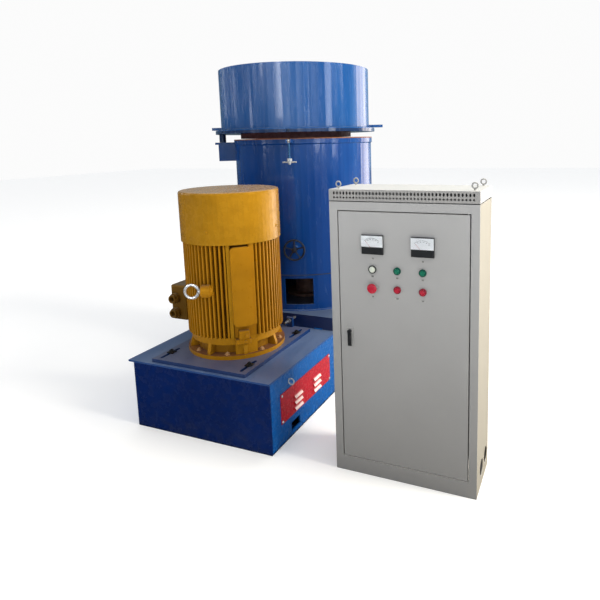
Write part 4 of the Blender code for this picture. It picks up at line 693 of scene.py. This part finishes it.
def bolt(radius, height):
    """A hexagon head between a round washer and the end of its stud, all three turned."""
    seat = height * 0.18
    wide = radius * 1.35
    disc = turned_shape([(0.0, 0.0), (wide, 0.0), (wide, seat), (0.0, seat)], 20)
    head = turned_shape([(0.0, seat), (radius, seat), (radius, height * 0.86), (radius * 0.84, height),
                         (0.0, height)], 6)
    stud = turned_shape([(0.0, height), (radius * 0.5, height), (radius * 0.5, height * 1.3),
                         (radius * 0.4, height * 1.4), (0.0, height * 1.4)], 12)
    return stacked([disc, head, stud])


print("builders ready")

# %% [markdown]
# ## The motor's small parts
#
# Eight bolts hold the foot flange, one in each pocket between two ribs. The slide plate
# is held by four more in its slots, each with a thick square washer. They are darker,
# because they are tightened often and never painted. A thin dark strip on the floor of
# each slot is a painted shadow.

# %% Foot bolts and slot bolts
FLANGE_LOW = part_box("motor_flange")[0].z
FLANGE_TOP = FLANGE_LOW + 0.026
BOLT_CIRCLE = 0.297
foot_bolts = []
for angle in np.radians(22.5 + 45.0 * np.arange(8)):
    spot = on_top(*(polar(BOLT_CIRCLE, angle, FLANGE_TOP + GAP) + (0.0, MOTOR_Y, 0.0)))
    foot_bolts.append(moved(bolt(0.0135, 0.012), spot))
fitted("motor_foot_bolts", stacked(foot_bolts), bolt_yellow, "machine")

SLIDE_TOP = FLANGE_LOW - 0.0003
SLOT_X = 0.31
SLOT_PLACES = (MOTOR_Y - 0.33, MOTOR_Y + 0.28)
OFF_CENTRE = 0.012
WASHER = 0.006
BASE_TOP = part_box("base_top_plate")[1].z
slot_bolts, slot_shadow_strips = [], []
for x in (-SLOT_X, SLOT_X):
    for y in SLOT_PLACES:
        washer = plate(0.046, 0.046, WASHER, 0.001)
        slot_bolts.append(moved(washer, on_top(x, y + OFF_CENTRE, SLIDE_TOP + GAP)))
        slot_bolts.append(moved(bolt(0.015, 0.012), on_top(x, y + OFF_CENTRE, SLIDE_TOP + WASHER + 2 * GAP)))
        # a thin dark strip in each slot: a painted shadow
        slot_shadow_strips.append(moved(plate(0.0206, 0.157, 0.0015), on_top(x, y, BASE_TOP + GAP)))
fitted("slide_plate_bolts", stacked(slot_bolts), bolt_black, "machine")
fitted("slot_painted_shadows", stacked(slot_shadow_strips), dark_iron, "machine")

# %% [markdown]
# Under the name pad the casting carries two stub boxes, one above the other, for the
# bearing's grease and the thermal sensor. Each is a small block with a round plug. A
# smooth flank closes the pad's side up to the cowl, and four screws hold the cowl in its
# lower band.

# %% Grease boxes, flank and cowl screws
FRAME_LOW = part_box("motor_frame")[0].z
COWL_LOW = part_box("motor_fan_cowl")[0].z
MOTOR_AXIS = (0.0, MOTOR_Y)
LAND_RADIUS = 0.3062
COWL_RADIUS = 0.3318
stubs = []
for angle, width, low, high, depth in ((-46.4, 0.066, -0.001, 0.053, 0.04),
                                       (-47.5, 0.096, -0.036, -0.003, 0.034)):
    middle = FRAME_LOW + (low + high) / 2
    box = plate(width, high - low, depth, 0.004)
    stubs.append(moved(box, facing(angle, LAND_RADIUS, MOTOR_AXIS, middle)))
    plug = turned_shape([(0.0, 0.0), (0.011, 0.0), (0.011, 0.007), (0.009, 0.009), (0.0, 0.009)], 6)
    stubs.append(moved(plug, facing(angle + 2.0, LAND_RADIUS + depth + GAP, MOTOR_AXIS, middle)))
fitted("motor_grease_boxes", stacked(stubs), frame_yellow, "machine")

flank = curved_plate(0.2856, 0.319, -61.6, -57.5, FRAME_LOW, COWL_LOW - 2 * GAP, 6)
fitted("motor_pad_flank", moved(flank, on_top(0.0, MOTOR_Y, 0.0)), cowl_yellow, "machine")

screw = turned_shape([(0.0, 0.0), (0.009, 0.0), (0.009, 0.003), (0.006, 0.006), (0.0, 0.0065)], 12)
screws = [moved(screw, facing(angle, COWL_RADIUS, MOTOR_AXIS, COWL_LOW + 0.085))
          for angle in (-82.0, 8.0, 98.0, 188.0)]
fitted("motor_cowl_screws", stacked(screws), cowl_yellow, "machine")

# %% [markdown]
# ## Welds and seams
#
# The hopper's wall is welded to its flange all the way round, inside and out. A weld
# bead is a small quarter-round fillet with a ripple every 12 mm, here a ring whose size
# is a (1 + 0.12 |sin(n u)|). The rolled plates each close in one upright seam, which is
# at the back. Where the skirt meets the tank a thin dark ring, a painted shadow of the
# joint, has a bead under it.

# %% Hopper and tank welds
HOPPER = (-0.053, -0.029)
HOPPER_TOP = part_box("hopper_ring")[1].z
HOPPER_RADIUS = 0.617
HOPPER_SHEET = 0.0062
FLANGE_LEVEL = 1.968
TANK_RADIUS = 0.572
SEAM = 0.8415
RIPPLE_PITCH = 0.012
WELD_STEPS = 720


def weld_ring(radius, z, size, inward):
    """A fillet between a wall and a floor: its hypotenuse bulges, and its size ripples."""
    u = np.linspace(0.0, 2.0 * np.pi, WELD_STEPS, endpoint=False)
    ripple = 1.0 + 0.12 * np.abs(np.sin(u * radius / RIPPLE_PITCH * np.pi))
    side = -1.0 if inward else 1.0
    corner = np.array([(0.0, 0.0), (1.0, 0.0), (0.86, 0.45), (0.45, 0.86), (0.0, 1.0)])[:, :, None]
    out, up = corner[:, 0] * size * ripple, corner[:, 1] * size * ripple
    points = polar(radius + side * (GAP + out), u, z + GAP + up)
    faces = grid_faces(len(corner), WELD_STEPS, wrap_rows=True)
    return points.reshape(-1, 3), (faces[:, ::-1] if inward else faces).tolist()


for name, radius, size, inward in (("hopper_outer_weld", HOPPER_RADIUS, 0.008, False),
                                   ("hopper_inner_weld", HOPPER_RADIUS - HOPPER_SHEET, 0.007, True)):
    weld = moved(weld_ring(radius, FLANGE_LEVEL, size, inward), on_top(*HOPPER, 0.0))
    fitted(name, weld, hopper_blue, "hopper")

BEAD = ((GAP, -0.005), (0.003, -0.0042), (0.003, -0.0018), (GAP, -0.001))
JOINT = ((GAP, -0.0008), (0.0012, -0.0008), (0.0012, 0.0038), (GAP, 0.0038))
# the dark ring at the joint is a painted shadow
for name, outline, finish, slot in (("skirt_seam_bead", BEAD, tank_blue, "tank_blue"),
                                    ("skirt_seam_shadow", JOINT, dark_iron, "dark_iron")):
    profile = [(TANK_RADIUS + out, SEAM + up) for out, up in outline]
    fitted(name, turned_ring(profile, 180), finish, "machine")
skirt_weld = weld_ring(TANK_RADIUS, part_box("tank_skirt")[0].z, 0.008, False)
fitted("skirt_foot_weld", skirt_weld, tank_blue, "machine")


def upright_seam(degrees, radius, low, high, centre=(0.0, 0.0)):
    """A weld bead up a wall: a half-round strip whose width ripples with height."""
    z = np.linspace(low, high, 140)[:, None]
    half = 0.0045 * (1.0 + 0.1 * np.abs(np.sin(z / 0.011 * np.pi)))
    x = half * np.array([-1.0, -0.6, 0.0, 0.6, 1.0, 0.0])
    out = np.array([0.0002, 0.0022, 0.0028, 0.0022, 0.0002, 0.0001])
    points = np.stack(np.broadcast_arrays(x, z, out), 2).reshape(-1, 3)
    return moved((points, capped_faces(len(z), len(out))), facing(degrees, radius, centre))


tank_seam = upright_seam(96.0, TANK_RADIUS, SEAM + 0.01, 1.842)
fitted("tank_upright_seam", tank_seam, tank_blue, "machine")
hopper_seam = upright_seam(84.0, HOPPER_RADIUS, FLANGE_LEVEL + 0.012, HOPPER_TOP - 0.004, HOPPER)
fitted("hopper_upright_seam", hopper_seam, hopper_blue, "hopper")

# %% [markdown]
# ## The base
#
# The guard hangs on a pan-head screw at each corner. The stand is stitched to the top
# plate with short beads.

# %% Guard screws and stand welds
guard_low, guard_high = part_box("belt_guard")
pan = turned_shape([(0.0, 0.0), (0.0085, 0.0), (0.0085, 0.002), (0.006, 0.0048), (0.0, 0.0055)], 16)
guard_screws = [moved(pan, outward((1.0, 0.0, 0.0), (GUARD_FACE + GAP, guard_low.y + inset, z)))
                for inset in (0.014, 0.678) for z in (guard_low.z + 0.013, guard_high.z - 0.013)]
fitted("guard_screws", stacked(guard_screws), zinc, "machine")


def straight_weld(start, along, out):
    """A fillet in a level corner, rippled along its length: P = start + t along."""
    start, along, out = (np.array(part, float) for part in (start, along, out))
    length = np.linalg.norm(along)
    count = max(3, int(length / RIPPLE_PITCH * 3))
    t = np.linspace(0.0, 1.0, count)
    ripple = 0.006 * (1.0 + 0.12 * np.abs(np.sin(t * length / RIPPLE_PITCH * np.pi)))
    corner = np.array([(0.0, 0.0), (1.0, 0.0), (0.78, 0.48), (0.48, 0.78), (0.0, 1.0)])
    up = np.array((0.0, 0.0, 1.0))
    offset = corner[None, :, :1] * out + corner[None, :, 1:] * up
    points = start + t[:, None, None] * along + GAP * (out + up) + offset * ripple[:, None, None]
    faces = capped_faces(count, len(corner))
    if np.dot(np.cross(out, up), along) < 0.0:
        faces = [face[::-1] for face in faces]
    return points.reshape(-1, 3), faces


top_low, top_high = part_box("base_top_plate")
stand_low, stand_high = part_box("tank_stand")
BEAD_LENGTH = 0.07
BEAD_PITCH = 0.26
beads = []
for k in range(5):
    y = stand_low.y + 0.1 + BEAD_PITCH * k
    for side, x in ((1.0, stand_high.x), (-1.0, stand_low.x)):
        if top_low.x < x < top_high.x:
            beads.append(straight_weld((x, y, top_high.z), (0, BEAD_LENGTH, 0), (side, 0, 0)))
for k in range(4):
    start = (-0.42 + BEAD_PITCH * k, stand_low.y, top_high.z)
    beads.append(straight_weld(start, (BEAD_LENGTH, 0, 0), (0, -1, 0)))
fitted("stand_stitch_welds", stacked(beads), side_blue, "machine")

# %% [markdown]
# ## The cabinet's door
#
# Each meter has a white card behind a clear window in its upper part. The card carries
# an arc of ticks with plain numbers and a needle at rest. The arc's points are
# (R sin a, R cos a) for angles a from -42 to 42 degrees. First come the helpers that
# draw in thin relief.

# %% Helpers for dials
CABINET_FACE = -1.526
METER_FACE = CABINET_FACE - 0.014
METER_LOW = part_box("panel_meter_left")[0].z
CARD_WIDTH = 0.1192
CARD_HEIGHT = 0.0585
CARD_BASE = 0.0405
ARC_CENTRE = -0.012
ARC_RADIUS = 0.058
ARC_END = 42.0
ARC_LINE = 0.0006
TICKS = 25
INK = 0.0002
FIGURE_SIZE = 0.0058
REST = -40.0


def on_dial(radius, degrees):
    """A point of the card at that distance and angle from the needle's pivot."""
    angle = math.radians(degrees)
    return radius * math.sin(angle), ARC_CENTRE + radius * math.cos(angle)


def flat_bar(start, end, width, z=0.0):
    """A thin straight strip between two points of a card."""
    start, end = np.array(start), np.array(end)
    along = (end - start) / np.linalg.norm(end - start)
    side = np.array((-along[1], along[0])) * width / 2
    corners = (start - side, end - side, end + side, start + side)
    return np.array([(*corner, level) for level in (z, z + INK) for corner in corners]), capped_faces(2, 4)


def number(text):
    """A plain figure as a thin mesh, centred on the origin."""
    curve = bpy.data.curves.new("figure", "FONT")
    curve.body = text
    curve.size = FIGURE_SIZE
    curve.extrude = 0.0001
    curve.align_x = curve.align_y = "CENTER"
    curve.resolution_u = 2
    holder = bpy.data.objects.new("figure", curve)
    scene.collection.objects.link(holder)
    work = bmesh.new()
    work.from_mesh(holder.to_mesh())
    holder.to_mesh_clear()
    bpy.data.objects.remove(holder, do_unlink=True)
    bmesh.ops.remove_doubles(work, verts=work.verts, dist=1e-6)
    points = np.array([corner.co for corner in work.verts], float)
    faces = [[corner.index for corner in face.verts] for face in work.faces]
    work.free()
    return points, faces


print("arc from", on_dial(ARC_RADIUS, -ARC_END), "to", on_dial(ARC_RADIUS, ARC_END))

# %% [markdown]
# The two meters differ only in their numbers. Card, scale, needle and pane lie one above
# the other, a little apart, so that each keeps its own finish.

# %% Meter dials
for side, top in (("left", 500), ("right", 200)):
    low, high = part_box(f"panel_meter_{side}")
    middle = (low.x + high.x) / 2
    card_place = on_front(middle, METER_FACE - 0.0003, METER_LOW + CARD_BASE)
    card = moved(plate(CARD_WIDTH, CARD_HEIGHT, 0.0006), on_top(0.0, CARD_HEIGHT / 2, 0.0))
    fitted(f"meter_card_{side}", moved(card, card_place), dial_white, "door")
    arc = curved_plate(ARC_RADIUS, ARC_RADIUS + ARC_LINE, 90.0 - ARC_END, 90.0 + ARC_END, 0.0, INK, 48)
    ink = [moved(arc, on_top(0.0, ARC_CENTRE, 0.0))]
    for k in range(TICKS + 1):
        angle = ARC_END * (2 * k / TICKS - 1)
        reach = 0.0052 if k % 5 == 0 else 0.003
        ink.append(flat_bar(on_dial(ARC_RADIUS, angle), on_dial(ARC_RADIUS + reach, angle), ARC_LINE))
    for k in range(6):
        spot = on_top(*on_dial(ARC_RADIUS - 0.006, ARC_END * (2 * k / 5 - 1)), 0.0001)
        ink.append(moved(number(str(top * k // 5)), spot))
    scale_place = on_front(middle, METER_FACE - 0.0012, METER_LOW + CARD_BASE)
    fitted(f"meter_scale_{side}", moved(stacked(ink), scale_place), dial_ink, "door")
    needle = flat_bar(on_dial(0.012, REST), on_dial(0.055, REST), 0.0009, 0.0004)
    fitted(f"meter_needle_{side}", moved(needle, scale_place), dial_red, "door")
    pane = plate(0.1194, 0.0605, 0.0022, 0.0008)
    fitted(f"meter_pane_{side}", moved(pane, on_front(middle, METER_FACE - 0.002, METER_LOW + 0.071)),
           meter_window, "door")

# %% [markdown]
# Under each instrument there is a small plate. Nothing is written on it: two short dark
# bars stand for its print. Each button sits in a collar of its own colour, and the lamp
# has a dark ring round its lens.

# %% Blank plates, collars and the lamp's ring
COLUMNS = (LAMP_X, 1.3335, 1.47)
RED_Z = 1.092
LABEL_ROWS = (1.1555, 1.045)
METER_LABEL_X, METER_LABEL_Z = (1.2, 1.4705), 1.252
LABELS = [(x, z, 0.03, 0.012) for x in COLUMNS for z in LABEL_ROWS]
LABELS += [(x, METER_LABEL_Z, 0.026, 0.01) for x in METER_LABEL_X]
plates = [moved(plate(width, 0.01, 0.0008, 0.0003), on_front(x, CABINET_FACE - GAP, z))
          for x, z, width, bar in LABELS]
fitted("blank_label_plates", stacked(plates), blank_plate, "door")
marks = [moved(plate(bar, 0.0022, 0.0003), on_front(x, CABINET_FACE - 0.0012, z + rise))
         for x, z, width, bar in LABELS for rise in (-0.0022, 0.0022)]
fitted("label_marks", stacked(marks), dial_ink, "door")

COLLAR = [(0.0192, 0.0003), (0.02, 0.0003), (0.02, 0.008), (0.019, 0.0096), (0.0137, 0.0096),
          (0.0137, 0.0084), (0.0192, 0.0084)]
for name, z, finish, slot in (("green", LAMP_Z, green_ring, "green_plastic"),
                              ("red", RED_Z, red_ring, "red_plastic")):
    rings = [moved(turned_ring(COLLAR, 32), on_front(x, CABINET_FACE, z)) for x in COLUMNS[1:]]
    fitted(f"{name}_button_collars", stacked(rings), finish, "door")
lamp_ring = turned_ring([(0.0192, 0.0083), (0.0212, 0.0083), (0.0212, 0.0098), (0.0192, 0.0098)], 32)
fitted("lamp_ring", moved(lamp_ring, on_front(LAMP_X, CABINET_FACE, LAMP_Z)), black_plastic,
       "door")

# %% [markdown]
# Air leaves the cabinet through two rows of punched holes along the front of its roof:
# tall ovals above, round holes below. The solid roof is copied, its corners are merged
# and a Boolean cuts the holes through its front sheet. The copy then stands for the
# solid one.

# %% Roof vents
roof_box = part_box("cabinet_roof")
solid_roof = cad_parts["cabinet_roof"]
work = bmesh.new()
work.from_mesh(solid_roof.data)
bmesh.ops.transform(work, matrix=solid_roof.matrix_world, verts=work.verts)
bmesh.ops.remove_doubles(work, verts=work.verts, dist=1e-6)
work.verts.index_update()
corners = [tuple(vert.co) for vert in work.verts]
outlines = [[vert.index for vert in face.verts] for face in work.faces]
work.free()
roof_mesh = bpy.data.meshes.new("roof_with_vents")
roof_mesh.from_pydata(corners, [], outlines)
roof_mesh.materials.append(roof_grey)
roof = bpy.data.objects.new("roof_with_vents", roof_mesh)
scene.collection.objects.link(roof)

BODY_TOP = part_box("cabinet_front_frame")[1].z
OVAL = (0.0455, 0.0055, 0.009)
ROUND = (0.0225, 0.0055, 0.0055)
VENT_PITCH = 0.0185
pins = []
for k in range(41):
    x = roof_box[0].x + 0.03 + VENT_PITCH * k
    for rise, half_width, half_height in (OVAL, ROUND):
        pin, faces = turned_shape([(0.0, -0.006), (1.0, -0.006), (1.0, 0.003), (0.0, 0.003)], 12)
        pin = pin * (half_width, half_height, 1.0)
        pins.append(moved((pin, faces), on_front(x, roof_box[0].y, BODY_TOP + rise)))
points, faces = stacked(pins)
pin_mesh = bpy.data.meshes.new("vent_pins")
pin_mesh.from_pydata(points.tolist(), [], faces)
pin_holder = bpy.data.objects.new("vent_pins", pin_mesh)
scene.collection.objects.link(pin_holder)
punch = roof.modifiers.new("punch", "BOOLEAN")
punch.operation = "DIFFERENCE"
punch.solver = "EXACT"
punch.object = pin_holder
bpy.context.view_layer.update()
punched = bpy.data.meshes.new_from_object(roof.evaluated_get(bpy.context.evaluated_depsgraph_get()))
roof.modifiers.clear()
roof.data = punched
bpy.data.objects.remove(pin_holder, do_unlink=True)
punched.shade_smooth()
punched.set_sharp_from_angle(angle=SHARP_ANGLE)
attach(roof, "machine")
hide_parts("cabinet_roof")
print("vents:", len(pins), "holes,", len(punched.polygons), "faces")

# %% [markdown]
# ## Floor and light
#
# The floor is plain and pale to the camera, and dimmer and bluer in reflections, like a
# workshop's floor. A Light Path node tells the two kinds of ray apart.

# %% Floor
FLOOR_HALF = 30.0
FLOOR_LEVEL = -0.0005
REFLECTED = (0.62, 0.82, 1.0, 1.0)
floor_mesh = bpy.data.meshes.new("studio_floor")
corners = [(x * FLOOR_HALF, y * FLOOR_HALF, FLOOR_LEVEL) for x, y in ((-1, -1), (1, -1), (1, 1), (-1, 1))]
floor_mesh.from_pydata(corners, [], [(0, 1, 2, 3)])
floor = bpy.data.objects.new("studio_floor", floor_mesh)
scene.collection.objects.link(floor)
pale = Finish("studio_floor", (0.96, 0.96, 0.96), 0.8, specular=0.2)
pale.shader.inputs["Emission Color"].default_value = (1.0, 1.0, 1.0, 1.0)
pale.shader.inputs["Emission Strength"].default_value = 0.11
pale.rough(pale.noise(2.0), 0.3, 0.7, 0.75, 0.9)
flag = pale.add("Emission", {"Color": REFLECTED})
behind = pale.product(pale.ramp(pale.axis("Y"), -1.3, 0.8, 0.06, 0.85),
                      pale.ramp(pale.axis("X"), -0.3, 0.4, 0.1, 1.0))
pale.link(behind, flag, "Strength")
seen = pale.chosen("Is Glossy Ray", flag.outputs[0], pale.shader.outputs[0])
pale.link(seen, pale.tree.nodes["Material Output"], "Surface")
floor.data.materials.append(show(pale))
print("floor:", round(2 * FLOOR_HALF), "m square")

# %% [markdown]
# The sky is split the same way. The camera sees it nearly white, the light it gives is
# even, and in reflections it is blue, dimmer overhead and to the left.

# %% Sky
world = bpy.data.worlds.new("studio")
scene.world = world
world.use_nodes = True
wiring = Wiring(world.node_tree)


def sky(colour, strength):
    """A sky of one colour; its strength is a number or an output."""
    node = wiring.add("Background", {"Color": (*colour, 1.0)})
    wiring.link(strength, node, "Strength")
    return node.outputs[0]


nodes = world.node_tree.nodes
nodes.remove(nodes["Background"])
direction = wiring.add("TexCoord")
parts = wiring.add("SeparateXYZ")
wiring.link(direction.outputs["Generated"], parts, 0)
band = wiring.product(wiring.ramp(parts.outputs["Z"], 0.08, 0.6, 1.0, 0.25),
                      wiring.ramp(parts.outputs["X"], -0.75, 0.3, 0.22, 0.9))
soft = wiring.chosen("Is Glossy Ray", sky((0.52, 0.78, 1.0), band), sky((0.98, 0.99, 1.0), 0.9))
whole = wiring.chosen("Is Camera Ray", sky((1.0, 1.0, 1.0), 0.97), soft)
wiring.link(whole, nodes["World Output"], "Surface")
print("sky:", len(nodes), "nodes")

# %% [markdown]
# One broad warm lamp from the upper right is the key light, and it isn't seen in
# reflections. What shows there instead is a window behind the machine, a low one on the
# right, and fourteen tall narrow ones all round, so that the enamel shows upright streaks.

# %% Lamps
def lamp(name, place, target, size, power, colour=(1.0, 1.0, 1.0), lights=True):
    """A rectangular lamp that looks at its target, unseen by the camera.

    One that lights isn't seen in reflections, and the others are seen only there.
    """
    data = bpy.data.lights.new(name, "AREA")
    data.shape = "RECTANGLE"
    data.size, data.size_y = size
    data.energy = power
    data.color = colour
    thing = bpy.data.objects.new(name, data)
    thing.location = place
    thing.rotation_euler = (Vector(target) - Vector(place)).to_track_quat("-Z", "Y").to_euler()
    thing.visible_camera = False
    thing.visible_diffuse = lights
    thing.visible_glossy = not lights
    scene.collection.objects.link(thing)


lamp("key", (9.4, -0.4, 6.4), (0.3, -0.8, 0.7), (4.4, 4.4), 1400.0, (1.0, 0.94, 0.82))
lamp("window_behind", (2.85, 4.7, 1.9), (0.0, 0.0, 1.6), (2.9, 4.4), 170.0, (1.0, 0.88, 0.8), False)
lamp("window_low", (4.6, 2.5, 0.45), (0.2, -0.8, 1.0), (2.6, 0.9), 30.0, (1.0, 0.9, 0.75), False)
WINDOW_TOP = 4.6
WINDOW_REACH = 6.5
WINDOW_COLOUR = (0.88, 0.92, 1.0)
WINDOWS = ((172.0, 2.4, 0.16, 9.0), (-171.0, 2.4, 0.18, 11.0), (-150.0, 2.3, 0.2, 14.0),
           (-137.0, 2.6, 0.14, 14.0), (-122.0, 1.7, 0.24, 15.0), (-110.0, 2.8, 0.2, 24.0),
           (-97.0, 2.5, 0.22, 24.0), (-84.0, 2.3, 0.26, 20.0), (-71.0, 2.2, 0.26, 22.0),
           (-56.0, 1.9, 0.4, 5.0), (-42.0, 1.7, 0.2, 16.0), (-30.0, 1.6, 0.26, 14.0),
           (-13.0, 1.6, 0.22, 15.0), (3.0, 2.8, 0.3, 24.0))
for azimuth, low, width, glow in WINDOWS:
    height, middle = WINDOW_TOP - low, (low + WINDOW_TOP) / 2
    place = polar(WINDOW_REACH, math.radians(azimuth), middle)
    lamp("window", place, (0.0, 0.0, middle), (width, height), math.pi * width * height * glow,
         WINDOW_COLOUR, False)
scene.view_settings.view_transform = "Standard"
